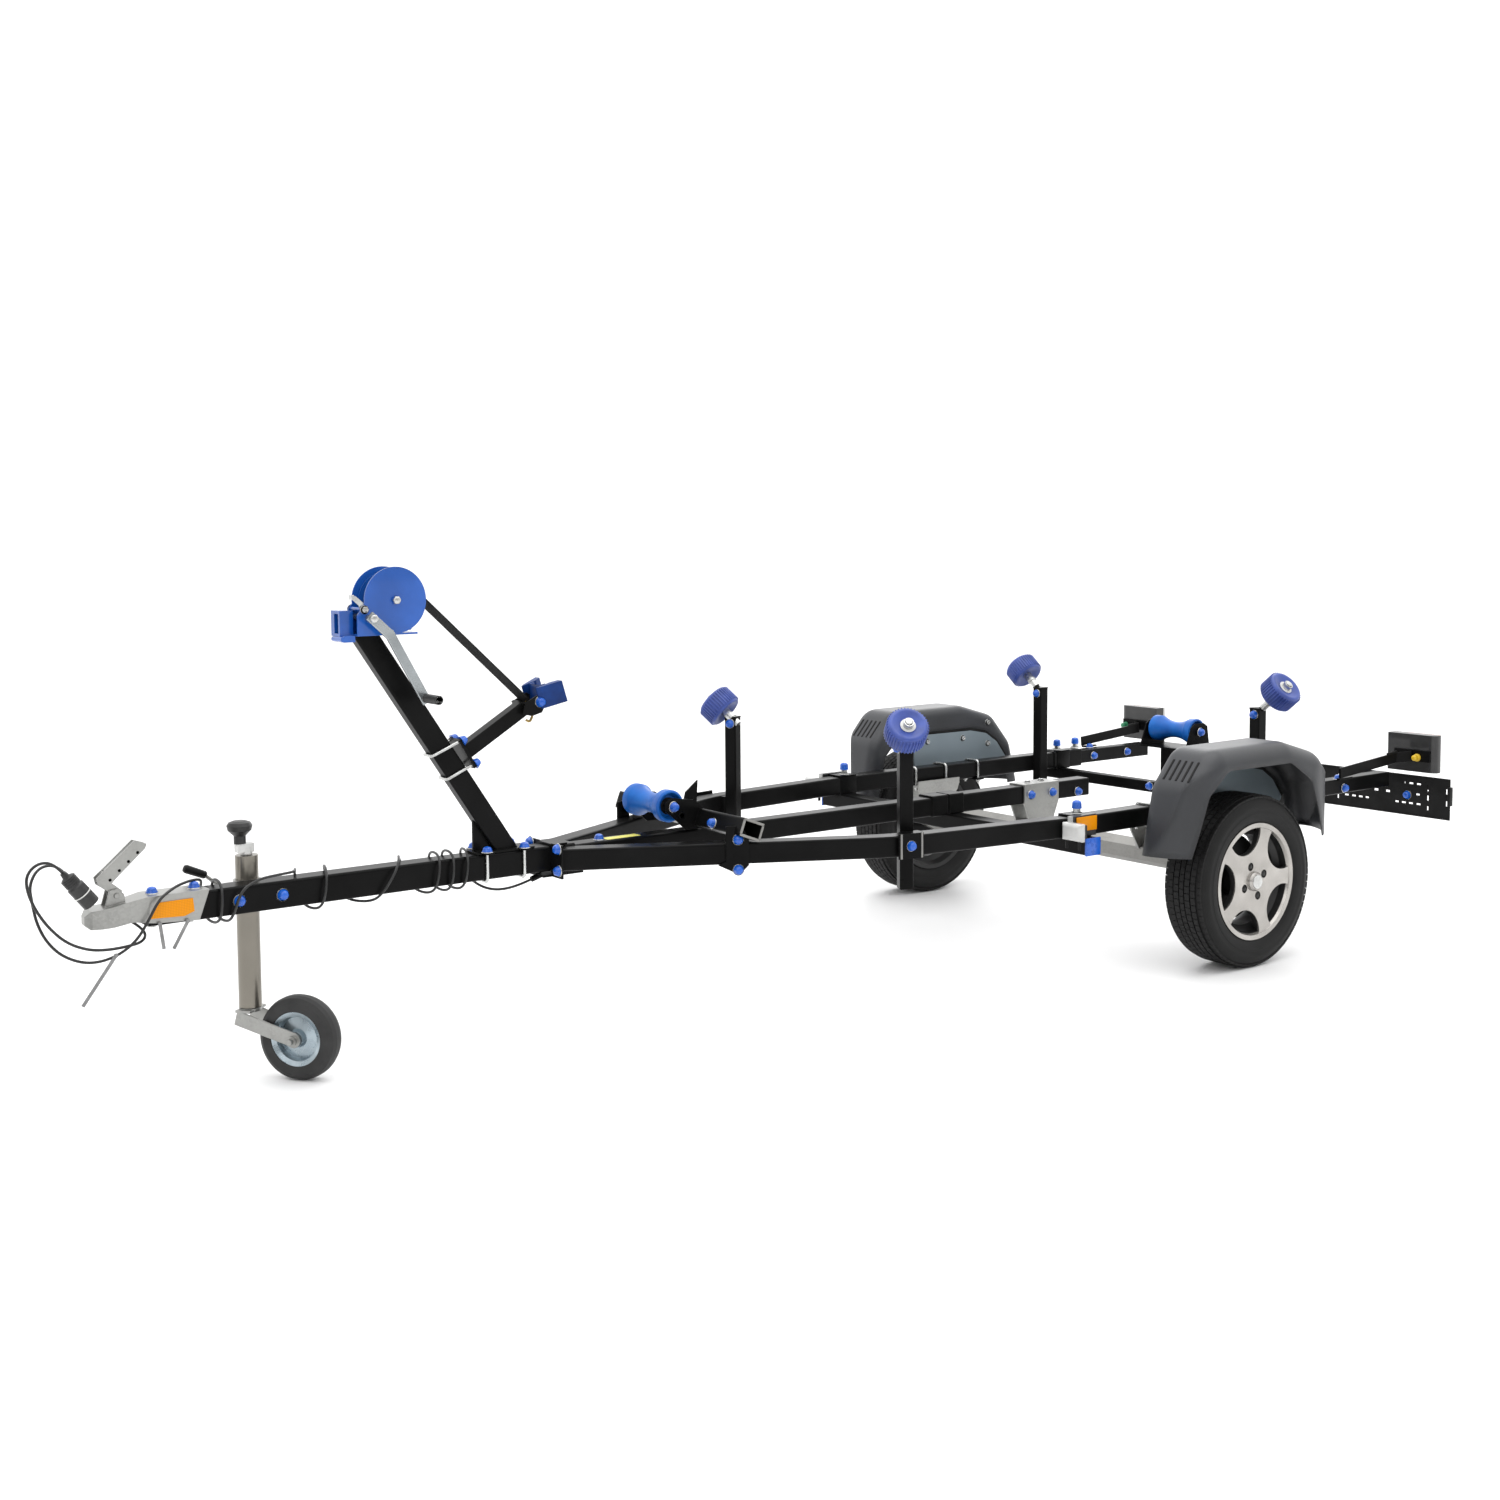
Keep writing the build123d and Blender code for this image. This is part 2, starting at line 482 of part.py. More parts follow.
TUBE_X = -1582
TUBE_Z = 538
FRONT_PIN = (-1700, 587)
cross_tube = bar((TUBE_X, -320, TUBE_Z), (TUBE_X, 320, TUBE_Z), 74, 52, 7, 5, roll=21)
for s in (-1, 1):
    y0, y1 = sorted((s * 98, s * 103))
    cross_tube += side_plate([(-1704, 612), (-1625, 600), (-1586, 568), (-1590, 516), (-1655, 516),
                              (-1702, 560), (-1724, 574), (-1724, 600)], y0, y1, 7)
    cross_tube += rod((FRONT_PIN[0], s * 92.7, FRONT_PIN[1]), (FRONT_PIN[0], s * 106, FRONT_PIN[1]), 22)
    cheek = make_face(Polyline((-34, 548), (10, 548), (30, 514), (30, 438), (8, 416), (-6, 416), (-56, 440),
                               (-34, 450), close=True))
    cheek = extrude(Plane(origin=(0, 3, 0), x_dir=(1, 0, 0), z_dir=(0, -1, 0)) * cheek, 6)
    cheek = Pos(-1612, s * 294.9, 0) * Rot(0, 0, s * 26.57) * cheek
    cross_tube += cheek
cross_tube += side_plate([(-1597, 560), (-1585, 606), (-1543, 638), (-1548, 560)], -3, 3)
cross_tube += rod((FRONT_PIN[0], -110, FRONT_PIN[1]), (FRONT_PIN[0], 110, FRONT_PIN[1]), PIN_R)
write("keel_bracket_front", cross_tube)

stalk = bar((540, 0, 437), (540, 0, 566), POST, POST, 4, 3)
stalk += box(508, 640, -106, 106, 566, 571)
for s in (-1, 1):
    y0, y1 = sorted((s * 101, s * 106))
    stalk += side_plate([(508, 566), (640, 566), (626, 648), (606, 660), (560, 660), (540, 648)], y0, y1)
stalk += rod((584, -110, 629), (584, 110, 629), PIN_R)
write("keel_bracket_rear", stalk)

for name, at, length in (("front", (-1700, 0, 587), 185), ("rear", (584, 0, 629), 190)):
    h = length / 2
    shape = [(-h, BORE_R), (-h, KEEL_R - 4), (-h + 4, KEEL_R), (-h + 28, KEEL_R), (-20, KEEL_WAIST_R),
             (20, KEEL_WAIST_R), (h - 28, KEEL_R), (h - 4, KEEL_R), (h, KEEL_R - 4), (h, BORE_R)]
    write(f"keel_roller_{name}", turned(shape, at, (0, 1, 0)))

# ---------------------------------------------------------------- lamps and number plate

marker = box(-628, -600, 577, 655, 440, 492)
upright = [e for e in marker.edges() if abs(e.center().X + 628) < 1 or 440.1 < e.center().Z < 491.9]
marker = fillet(upright, 12)
marker += box(-604, -500, 582, 600, 444, 508)
marker += box(-606, -582, 600, 640, 446, 486)
write("marker_lamps", *both(marker))

holder = bar((725, 592, 520), (1060, 592, 548), 8, 36, 2)
holder += bar((1052, 592, 547), (1087, 632, 554), 8, 36, 2)
holder += box(725, 800, 580.2, 592, 496, 502)
holder += box(1090, 1096, 560, 700, 536, 576)
write("lamp_arms", *both(holder))

lamp = box(1096.5, 1150, 530.5, 716, 498, 630)
lamp = fillet([e for e in lamp.edges() if abs(e.center().Y - 716) < 1 and 500 < e.center().Z < 628], 24)
write("rear_lamps", *both(lamp))

carrier_plate = box(1087, 1089.5, -783, -250, 343, 487)
carrier_plate += box(1070, 1089.5, -792, -780, 395, 460)
for y in (-700, -590):
    carrier_plate += box(1089.5, 1096, y - 12, y + 12, 440, 480)
write("number_plate_carrier", carrier_plate)


# ---------------------------------------------------------------- electric lead

LEAD_R = 3.5
PLUG_R = 20.5
PLUG_TAIL = Vector(-3349, -34, 590)
PLUG_FACE = Vector(-3287, -34, 511)
PLUG_WAY = (PLUG_FACE - PLUG_TAIL).normalized()

# Eight points of one turn round the drawbar, as (y, z - DRAWBAR_Z): over the top, down the near side and back
TURN = [(-27, 51), (-51, 27), (-51, -27), (-27, -51), (27, -51), (51, -27), (51, 27), (27, 51)]

# From the clamp to the first turn; x, y, z
LEAD_START = [GROMMET, LEAD_SECOND, (-2222, 16, 396), (-2268, 46, 428), (-2289, 53, 486), (-2300, 28, 522)]

# x of the points of TURN, in order
LEAD_TURNS = [-2311, -2318, -2325, -2332, -2337, -2342, -2347, -2351,
              -2355, -2359, -2365, -2370, -2375, -2380, -2385, -2389,
              -2394, -2400, -2409, -2417, -2431, -2444, -2466, -2482,
              -2506, -2524, -2562, -2584, -2622, -2646, -2676, -2690,
              -2706, -2714, -2722, -2730, -2740, -2748, -2758, -2766]

# Along the top past the jockey wheel's bracket
LEAD_TOP = [(-2786, -24, 523), (-2836, -36, 523), (-2892, -42, 519), (-2938, -56, 498)]

# x of the points of TURN again, from the second on
LEAD_NOSE_TURNS = [-2954, -2960, -2965, -2969, -2973, -2976, -2979,
                   -2982, -2985, -2989, -2993, -2997, -3001, -3005]

# Over the coupling, once round in front of it, behind the plug and round again into the plug's tail
LEAD_LOOPS = [(-3032, 2, 530), (-3072, -14, 526), (-3104, -40, 520), (-3138, -57, 503),
              (-3164, -60, 458), (-3193, -54, 410), (-3240, -46, 378), (-3298, -38, 369),
              (-3352, -30, 392), (-3386, -22, 430), (-3405, -14, 476),
              (-3411, -6, 520), (-3414, 6, 562), (-3390, 20, 598), (-3350, 36, 600), (-3318, 47, 570),
              (-3294, 54, 530), (-3270, 60, 494), (-3236, 64, 468), (-3196, 62, 452), (-3162, 46, 432),
              (-3148, 10, 412), (-3168, -22, 400), (-3208, -36, 398), (-3250, -40, 397), (-3295, -42, 402),
              (-3345, -42, 425), (-3383, -42, 464), (-3411, -41, 508), (-3429, -39, 554), (-3431, -37, 594),
              (-3405, -34, 619), PLUG_TAIL - PLUG_WAY * 34, PLUG_TAIL]


def turns_of(places, first):
    """Points of the turns round the drawbar, from their x, starting at point number first of a turn."""
    sides = [TURN[(first + i) % len(TURN)] for i in range(len(places))]
    return [(x, y, DRAWBAR_Z + z) for x, (y, z) in zip(places, sides)]


route = LEAD_START + turns_of(LEAD_TURNS, 0) + LEAD_TOP + turns_of(LEAD_NOSE_TURNS, 2) + LEAD_LOOPS
route = [Vector(*tuple(point)) for point in route]
runs = [after - before for before, after in zip(route, route[1:])]
radii = []
for run_in, run_out in zip(runs, runs[1:]):
    half_turn = radians(run_in.get_angle(run_out)) / 2
    radii.append(0.45 * min(run_in.length, run_out.length) / tan(half_turn))
line = FilletPolyline(*route, radius=radii)
lead = sweep(Plane(origin=route[0], z_dir=runs[0].normalized()) * Circle(LEAD_R), path=line)
section = Circle(LEAD_R).area
print("lead: length", round(line.length))
print("lead: volume / section / length", round(lead.volume / section / line.length, 4))
print("lead: radii", [round(r) for r in sorted(radii)[:12]], "runs", round(min(r.length for r in runs)),
      round(max(r.length for r in runs)))
write("lead", lead)

reach = (PLUG_FACE - PLUG_TAIL).length
write("plug", turned([(0, 0), (0, 7), (12, 9), (16, 16), (40, 17), (44, PLUG_R), (reach, PLUG_R), (reach, 0)],
                     tuple(PLUG_TAIL), tuple(PLUG_WAY)))

low = [min(getattr(extent.min, c) for extent in extents) for c in "XYZ"]
high = [max(getattr(extent.max, c) for extent in extents) for c in "XYZ"]
print("whole part", [round(v, 2) for v in low], [round(v, 2) for v in high])
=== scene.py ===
from math import cos, pi, radians, sin

import bmesh
import bpy
from mathutils import Matrix, Vector


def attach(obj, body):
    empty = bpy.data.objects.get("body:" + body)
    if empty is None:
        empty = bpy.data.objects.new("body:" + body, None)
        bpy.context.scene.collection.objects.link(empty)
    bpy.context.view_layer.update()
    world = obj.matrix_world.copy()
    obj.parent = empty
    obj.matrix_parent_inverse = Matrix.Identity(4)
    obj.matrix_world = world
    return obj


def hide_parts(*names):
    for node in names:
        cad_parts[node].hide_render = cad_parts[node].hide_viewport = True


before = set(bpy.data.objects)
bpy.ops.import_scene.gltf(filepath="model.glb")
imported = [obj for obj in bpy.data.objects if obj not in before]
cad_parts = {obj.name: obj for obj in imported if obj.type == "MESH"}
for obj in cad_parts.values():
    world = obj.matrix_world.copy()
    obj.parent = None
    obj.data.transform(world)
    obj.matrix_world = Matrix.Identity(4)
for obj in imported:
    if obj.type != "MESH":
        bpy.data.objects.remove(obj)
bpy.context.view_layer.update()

# ------------------------------------------------------------------ sizes, metres
# Places along the trailer are measured from the road wheels' axle; the frame has it at AXLE_X.
AXLE_X = 1.074

WHEEL_Y = 0.735
WHEEL_R = 0.270
TREAD_BASE_R = 0.2640
TREAD_PITCHES = 76
TREAD_SHARE = 0.46
TREAD_SUNK = 0.006
DUST_DISC_IN = -0.032
DUST_DISC_OUT = -0.029
DUST_DISC_HOLE_R = 0.024
DUST_DISC_R = 0.136
BOLT_CIRCLE_R = 0.050
BOLT_TURN = radians(21.0)
RAIL_Y = 0.550
RAIL_TOP = 0.500
DRAWBAR_Z = 0.471
CAP_R = 0.0150
ROD_R = 0.0042
LEAD_R = 0.0035

UP, DOWN = (0, 0, 1), (0, 0, -1)
NEAR, FAR = (0, -1, 0), (0, 1, 0)
FRONT, REAR = (-1, 0, 0), (1, 0, 0)


def at(x, y, z):
    """A point of the frame, from its place along the trailer, across it and above the floor."""
    return Vector((x + AXLE_X, y, z))


# ------------------------------------------------------------------ materials

def tree_of(name):
    """A new material with its node tree, its surface shader and a maker of further nodes."""
    material = bpy.data.materials.new(name)
    material.use_nodes = True
    nodes, links = material.node_tree.nodes, material.node_tree.links
    shader = nodes["Principled BSDF"]

    def node(kind, **settings):
        made = nodes.new(kind)
        for key, value in settings.items():
            if hasattr(made, key):
                setattr(made, key, value)
            else:
                made.inputs[key.replace("_", " ").title() if key.islower() else key].default_value = value
        return made

    return material, shader, node, links


def object_noise(node, links, scale, detail=4.0, roughness=0.5, stretch=(1.0, 1.0, 1.0)):
    """Noise over the piece's own coordinates."""
    place = node("ShaderNodeTexCoord")
    mapping = node("ShaderNodeMapping")
    mapping.inputs["Scale"].default_value = stretch
    noise = node("ShaderNodeTexNoise")
    noise.inputs["Scale"].default_value = scale
    noise.inputs["Detail"].default_value = detail
    noise.inputs["Roughness"].default_value = roughness
    links.new(place.outputs["Object"], mapping.inputs["Vector"])
    links.new(mapping.outputs["Vector"], noise.inputs["Vector"])
    return noise


def ramp(node, links, source, stops):
    """Colour ramp over a value; stops are (place, colour)."""
    made = node("ShaderNodeValToRGB")
    elements = made.color_ramp.elements
    while len(elements) < len(stops):
        elements.new(0.5)
    for element, (place, colour) in zip(elements, stops):
        element.position = place
        element.color = (*colour, 1.0)
    links.new(source, made.inputs["Fac"])
    return made


def span(node, links, source, low, high):
    """Maps a 0 to 1 value onto low to high."""
    made = node("ShaderNodeMapRange")
    made.inputs["To Min"].default_value = low
    made.inputs["To Max"].default_value = high
    links.new(source, made.inputs["Value"])
    return made.outputs["Result"]


def grey(value):
    return (value, value, value)


def finish_of(name, dark, light, noise_scale, rough, bump=0.0, bump_scale=200.0, metal=0.0, edge=0.0,
              coat=0.0, stretch=(1.0, 1.0, 1.0), ior=1.5, shine=0.5):
    """Two-tone surface: colour and roughness wander with noise, a finer noise lifts it, edges are eased."""
    material, shader, node, links = tree_of(name)
    wander = object_noise(node, links, noise_scale, stretch=stretch)
    colour = ramp(node, links, wander.outputs["Fac"], [(0.32, dark), (0.70, light)])
    links.new(colour.outputs["Color"], shader.inputs["Base Color"])
    links.new(span(node, links, wander.outputs["Fac"], rough[0], rough[1]), shader.inputs["Roughness"])
    shader.inputs["Metallic"].default_value = metal
    shader.inputs["Coat Weight"].default_value = coat
    shader.inputs["IOR"].default_value = ior
    shader.inputs["Specular IOR Level"].default_value = shine
    normal = None
    if edge:
        normal = node("ShaderNodeBevel", samples=6)
        normal.inputs["Radius"].default_value = edge
    if bump:
        grain = object_noise(node, links, bump_scale, detail=3.0)
        lift = node("ShaderNodeBump")
        lift.inputs["Strength"].default_value = bump
        lift.inputs["Distance"].default_value = 0.001
        links.new(grain.outputs["Fac"], lift.inputs["Height"])
        if normal:
            links.new(normal.outputs["Normal"], lift.inputs["Normal"])
        normal = lift
    if normal:
        links.new(normal.outputs["Normal"], shader.inputs["Normal"])
    return material


def galvanised(name, light, rough):
    """Hot-dip zinc: crystals of slightly different grey, cloudy patches, a fine tooth."""
    material, shader, node, links = tree_of(name)
    place = node("ShaderNodeTexCoord")
    crystal = node("ShaderNodeTexVoronoi")
    crystal.inputs["Scale"].default_value = 170.0
    links.new(place.outputs["Object"], crystal.inputs["Vector"])
    cloud = object_noise(node, links, 9.0, detail=6.0)
    mixed = node("ShaderNodeMath", operation="MULTIPLY_ADD")
    separate = node("ShaderNodeSeparateColor")
    links.new(crystal.outputs["Color"], separate.inputs["Color"])
    links.new(separate.outputs["Red"], mixed.inputs[0])
    mixed.inputs[1].default_value = 0.18
    links.new(cloud.outputs["Fac"], mixed.inputs[2])
    colour = ramp(node, links, mixed.outputs["Value"], [(0.35, tuple(0.72 * c for c in light)),
                                                        (0.62, tuple(0.9 * c for c in light)),
                                                        (0.9, light)])
    links.new(colour.outputs["Color"], shader.inputs["Base Color"])
    links.new(span(node, links, mixed.outputs["Value"], rough[0], rough[1]), shader.inputs["Roughness"])
    shader.inputs["Metallic"].default_value = 0.80
    eased = node("ShaderNodeBevel", samples=6)
    eased.inputs["Radius"].default_value = 0.002
    tooth = object_noise(node, links, 320.0, detail=3.0)
    lift = node("ShaderNodeBump")
    lift.inputs["Strength"].default_value = 0.12
    lift.inputs["Distance"].default_value = 0.001
    links.new(tooth.outputs["Fac"], lift.inputs["Height"])
    links.new(eased.outputs["Normal"], lift.inputs["Normal"])
    links.new(lift.outputs["Normal"], shader.inputs["Normal"])
    return material


def webbing(name, dark, light):
    """Woven strap: small ribs across it, two tones of yarn."""
    material, shader, node, links = tree_of(name)
    place = node("ShaderNodeTexCoord")
    mapping = node("ShaderNodeMapping")
    mapping.inputs["Rotation"].default_value = (0.0, radians(-42.0), 0.0)
    links.new(place.outputs["Object"], mapping.inputs["Vector"])
    rib = node("ShaderNodeTexWave", wave_type="BANDS", bands_direction="X")
    rib.inputs["Scale"].default_value = 130.0
    links.new(mapping.outputs["Vector"], rib.inputs["Vector"])
    yarn = node("ShaderNodeTexWave", wave_type="BANDS", bands_direction="Y")
    yarn.inputs["Scale"].default_value = 170.0
    links.new(place.outputs["Object"], yarn.inputs["Vector"])
    both = node("ShaderNodeMath", operation="MULTIPLY")
    links.new(rib.outputs["Fac"], both.inputs[0])
    links.new(yarn.outputs["Fac"], both.inputs[1])
    colour = ramp(node, links, both.outputs["Value"], [(0.1, dark), (0.8, light)])
    links.new(colour.outputs["Color"], shader.inputs["Base Color"])
    lift = node("ShaderNodeBump")
    lift.inputs["Strength"].default_value = 0.5
    lift.inputs["Distance"].default_value = 0.001
    links.new(both.outputs["Value"], lift.inputs["Height"])
    links.new(lift.outputs["Normal"], shader.inputs["Normal"])
    shader.inputs["Roughness"].default_value = 0.85
    shader.inputs["Specular IOR Level"].default_value = 0.25
    return material


def lens(name, colour, cell=260.0):
    """Moulded lens: prisms on the inside show as a fine grid under a smooth skin."""
    material, shader, node, links = tree_of(name)
    place = node("ShaderNodeTexCoord")
    prism = node("ShaderNodeTexVoronoi", distance="CHEBYCHEV")
    prism.inputs["Scale"].default_value = cell
    prism.inputs["Randomness"].default_value = 0.0
    links.new(place.outputs["Object"], prism.inputs["Vector"])
    tone = ramp(node, links, prism.outputs["Distance"],
                [(0.1, colour), (0.6, tuple(0.62 * c for c in colour))])
    links.new(tone.outputs["Color"], shader.inputs["Base Color"])
    lift = node("ShaderNodeBump")
    lift.inputs["Strength"].default_value = 0.25
    lift.inputs["Distance"].default_value = 0.001
    links.new(prism.outputs["Distance"], lift.inputs["Height"])
    links.new(lift.outputs["Normal"], shader.inputs["Normal"])
    shader.inputs["Roughness"].default_value = 0.22
    shader.inputs["Specular IOR Level"].default_value = 0.2
    return material


def parted(name, axis, edge, below, above, both_sides=True, bump=0.08, bump_scale=400.0, eased=0.0015):
    """Surface of two finishes, each (dark, light, roughness, metal), that meet at a plane."""
    material, shader, node, links = tree_of(name)
    place = node("ShaderNodeTexCoord")
    split = node("ShaderNodeSeparateXYZ")
    links.new(place.outputs["Object"], split.inputs["Vector"])
    along = split.outputs[axis]
    if both_sides:
        folded = node("ShaderNodeMath", operation="ABSOLUTE")
        links.new(along, folded.inputs[0])
        along = folded.outputs["Value"]
    beyond = node("ShaderNodeMath", operation="GREATER_THAN")
    links.new(along, beyond.inputs[0])
    beyond.inputs[1].default_value = edge
    wander = object_noise(node, links, 12.0)
    tones = [ramp(node, links, wander.outputs["Fac"], [(0.32, dark), (0.70, light)])
             for dark, light, _, _ in (below, above)]
    mixed = node("ShaderNodeMix", data_type="RGBA")
    links.new(beyond.outputs["Value"], mixed.inputs[0])
    links.new(tones[0].outputs["Color"], mixed.inputs[6])
    links.new(tones[1].outputs["Color"], mixed.inputs[7])
    links.new(mixed.outputs[2], shader.inputs["Base Color"])
    links.new(span(node, links, beyond.outputs["Value"], below[2], above[2]), shader.inputs["Roughness"])
    links.new(span(node, links, beyond.outputs["Value"], below[3], above[3]), shader.inputs["Metallic"])
    normal = node("ShaderNodeBevel", samples=6)
    normal.inputs["Radius"].default_value = eased
    grain = object_noise(node, links, bump_scale, detail=3.0)
    lift = node("ShaderNodeBump")
    lift.inputs["Strength"].default_value = bump
    lift.inputs["Distance"].default_value = 0.001
    links.new(grain.outputs["Fac"], lift.inputs["Height"])
    links.new(normal.outputs["Normal"], lift.inputs["Normal"])
    links.new(lift.outputs["Normal"], shader.inputs["Normal"])
    return material


def tyre_rubber(name, dark, light):
    """Road tyre: fine rings moulded round the wall, dusty black."""
    material, shader, node, links = tree_of(name)
    place = node("ShaderNodeTexCoord")
    centred = node("ShaderNodeMapping")
    centred.inputs["Location"].default_value = (-AXLE_X, 0.0, -WHEEL_R)
    centred.inputs["Scale"].default_value = (1.0, 0.0, 1.0)
    links.new(place.outputs["Object"], centred.inputs["Vector"])
    reach = node("ShaderNodeVectorMath", operation="LENGTH")
    links.new(centred.outputs["Vector"], reach.inputs[0])
    phase = node("ShaderNodeMath", operation="MULTIPLY")
    links.new(reach.outputs["Value"], phase.inputs[0])
    phase.inputs[1].default_value = 2 * pi / 0.0045
    ring = node("ShaderNodeMath", operation="SINE")
    links.new(phase.outputs["Value"], ring.inputs[0])
    dust = object_noise(node, links, 16.0, detail=6.0)
    colour = ramp(node, links, dust.outputs["Fac"], [(0.35, dark), (0.72, light)])
    links.new(colour.outputs["Color"], shader.inputs["Base Color"])
    links.new(span(node, links, dust.outputs["Fac"], 0.52, 0.72), shader.inputs["Roughness"])
    shader.inputs["IOR"].default_value = 1.4
    shader.inputs["Specular IOR Level"].default_value = 0.35
    lift = node("ShaderNodeBump")
    lift.inputs["Strength"].default_value = 0.16
    lift.inputs["Distance"].default_value = 0.001
    links.new(ring.outputs["Value"], lift.inputs["Height"])
    grain = object_noise(node, links, 300.0, detail=3.0)
    tooth = node("ShaderNodeBump")
    tooth.inputs["Strength"].default_value = 0.15
    tooth.inputs["Distance"].default_value = 0.001
    links.new(grain.outputs["Fac"], tooth.inputs["Height"])
    links.new(lift.outputs["Normal"], tooth.inputs["Normal"])
    links.new(tooth.outputs["Normal"], shader.inputs["Normal"])
    return material


def lamp_glass(name, housing_depth):
    """Rear lamp: black housing, then clear, red and amber glass side by side, from the middle outwards."""
    material, shader, node, links = tree_of(name)
    place = node("ShaderNodeTexCoord")
    split = node("ShaderNodeSeparateXYZ")
    links.new(place.outputs["Object"], split.inputs["Vector"])
    outward = node("ShaderNodeMath", operation="ABSOLUTE")
    links.new(split.outputs["Y"], outward.inputs[0])
    across = node("ShaderNodeMapRange")
    across.inputs["From Min"].default_value = LAMP_INNER_Y
    across.inputs["From Max"].default_value = LAMP_OUTER_Y
    links.new(outward.outputs["Value"], across.inputs["Value"])
    colours = ramp(node, links, across.outputs["Result"],
                   [(0.0, (0.55, 0.55, 0.54)), (0.24, (0.42, 0.006, 0.006)), (0.66, (0.62, 0.14, 0.004))])
    colours.color_ramp.interpolation = "CONSTANT"
    is_glass = node("ShaderNodeMath", operation="GREATER_THAN")
    links.new(split.outputs["X"], is_glass.inputs[0])
    is_glass.inputs[1].default_value = housing_depth
    wander = object_noise(node, links, 30.0)
    black = ramp(node, links, wander.outputs["Fac"], [(0.3, grey(0.006)), (0.7, grey(0.014))])
    mixed = node("ShaderNodeMix", data_type="RGBA")
    links.new(is_glass.outputs["Value"], mixed.inputs[0])
    links.new(black.outputs["Color"], mixed.inputs[6])
    links.new(colours.outputs["Color"], mixed.inputs[7])
    links.new(mixed.outputs[2], shader.inputs["Base Color"])
    links.new(span(node, links, is_glass.outputs["Value"], 0.42, 0.12), shader.inputs["Roughness"])
    prism = node("ShaderNodeTexVoronoi", distance="CHEBYCHEV")
    prism.inputs["Scale"].default_value = 180.0
    prism.inputs["Randomness"].default_value = 0.0
    links.new(place.outputs["Object"], prism.inputs["Vector"])
    eased = node("ShaderNodeBevel", samples=6)
    eased.inputs["Radius"].default_value = 0.003
    lift = node("ShaderNodeBump")
    lift.inputs["Strength"].default_value = 0.2
    lift.inputs["Distance"].default_value = 0.001
    links.new(prism.outputs["Distance"], lift.inputs["Height"])
    links.new(eased.outputs["Normal"], lift.inputs["Normal"])
    links.new(lift.outputs["Normal"], shader.inputs["Normal"])
    shader.inputs["Coat Weight"].default_value = 0.4
    return material


LAMP_INNER_Y = 0.5305
LAMP_OUTER_Y = 0.716
LAMP_GLASS_X = 1.140 + AXLE_X
KNOB_FROM_Z = 0.592
# The rim's face plane: the rim is silver beyond it and painted dark nearer the middle, as painted shade
# inside the wheel
RIM_FACE_Y = 0.7945
MARKER_GLASS_X = -0.6005 + AXLE_X
GRIP_FROM_Y = 0.0745
FLANGE_FROM_Y = 0.0285

FRAME_BLACK = finish_of("frame black powder coat", grey(0.0030), grey(0.0070), 6.0, (0.24, 0.36), bump=0.08,
                        bump_scale=420.0, edge=0.0022, ior=1.38, shine=0.12)
ZINC = galvanised("galvanised steel", (0.37, 0.37, 0.355), (0.24, 0.42))
AXLE_ZINC = galvanised("weathered galvanised steel", (0.33, 0.325, 0.31), (0.45, 0.65))
BRIGHT_ZINC = finish_of("bright zinc plate", (0.46, 0.46, 0.45), (0.66, 0.67, 0.66), 30.0, (0.2, 0.34),
                        bump=0.05, bump_scale=500.0, metal=0.85, edge=0.001)
# Silver face over a dark barrel: the dark behind the face plane is painted shade inside the wheel, seen
# through its windows
RIM_SILVER_AND_SHADE = parted("wheel silver over dark barrel", "Y", RIM_FACE_Y, (grey(0.008), grey(0.020), 0.5, 0.1),
             ((0.34, 0.325, 0.305), (0.47, 0.45, 0.425), 0.27, 0.8), bump=0.05, bump_scale=700.0,
             eased=0.002)
TUBE_ZINC = finish_of("dull zinc tube", (0.19, 0.176, 0.150), (0.24, 0.223, 0.192), 5.0, (0.27, 0.31),
                      bump=0.03, bump_scale=420.0, metal=0.85, edge=0.001)
BLUE_ZINC = finish_of("blue zinc plate", (0.30, 0.36, 0.40), (0.46, 0.53, 0.57), 24.0, (0.22, 0.34),
                      bump=0.06, bump_scale=420.0, metal=0.85, edge=0.001)
SHEET_ZINC = finish_of("pale blue zinc sheet", (0.20, 0.245, 0.275), (0.27, 0.325, 0.36), 2.0, (0.40, 0.46),
                       bump=0.02, bump_scale=300.0, metal=0.45, edge=0.001)
TYRE = tyre_rubber("tyre rubber", grey(0.0045), grey(0.0100))
SOLID_RUBBER = finish_of("solid wheel rubber", grey(0.010), grey(0.022), 30.0, (0.55, 0.72), bump=0.2,
                         bump_scale=300.0, edge=0.002)
GUARD = finish_of("mudguard plastic", (0.011, 0.012, 0.0145), (0.020, 0.022, 0.027), 4.0, (0.34, 0.46),
                  bump=0.22, bump_scale=620.0, edge=0.030, shine=0.6)
PLASTIC = finish_of("black plastic", grey(0.005), grey(0.012), 12.0, (0.34, 0.50), bump=0.16,
                    bump_scale=480.0, edge=0.002, ior=1.42, shine=0.2)
SIDE_BLUE = finish_of("violet-blue roller rubber", (0.026, 0.052, 0.24), (0.050, 0.090, 0.37), 22.0,
                      (0.32, 0.46), bump=0.10, bump_scale=300.0, edge=0.0015)
KEEL_BLUE = finish_of("blue roller rubber", (0.002, 0.075, 0.35), (0.004, 0.125, 0.48), 16.0, (0.32, 0.46),
                      bump=0.10, bump_scale=260.0, edge=0.002, shine=0.3)
CAP_BLUE = finish_of("blue nut cap", (0.004, 0.075, 0.42), (0.008, 0.115, 0.58), 60.0, (0.22, 0.34),
                     bump=0.04, coat=0.3)
WINCH_BLUE = finish_of("winch blue enamel", (0.005, 0.068, 0.32), (0.012, 0.100, 0.45), 9.0, (0.18, 0.30),
                       bump=0.06, bump_scale=260.0, edge=0.002, coat=0.4)
STOP_BLUE = finish_of("bow stop rubber", (0.001, 0.020, 0.115), (0.002, 0.036, 0.19), 26.0, (0.36, 0.50),
                      bump=0.18, bump_scale=240.0, edge=0.004, shine=0.25)
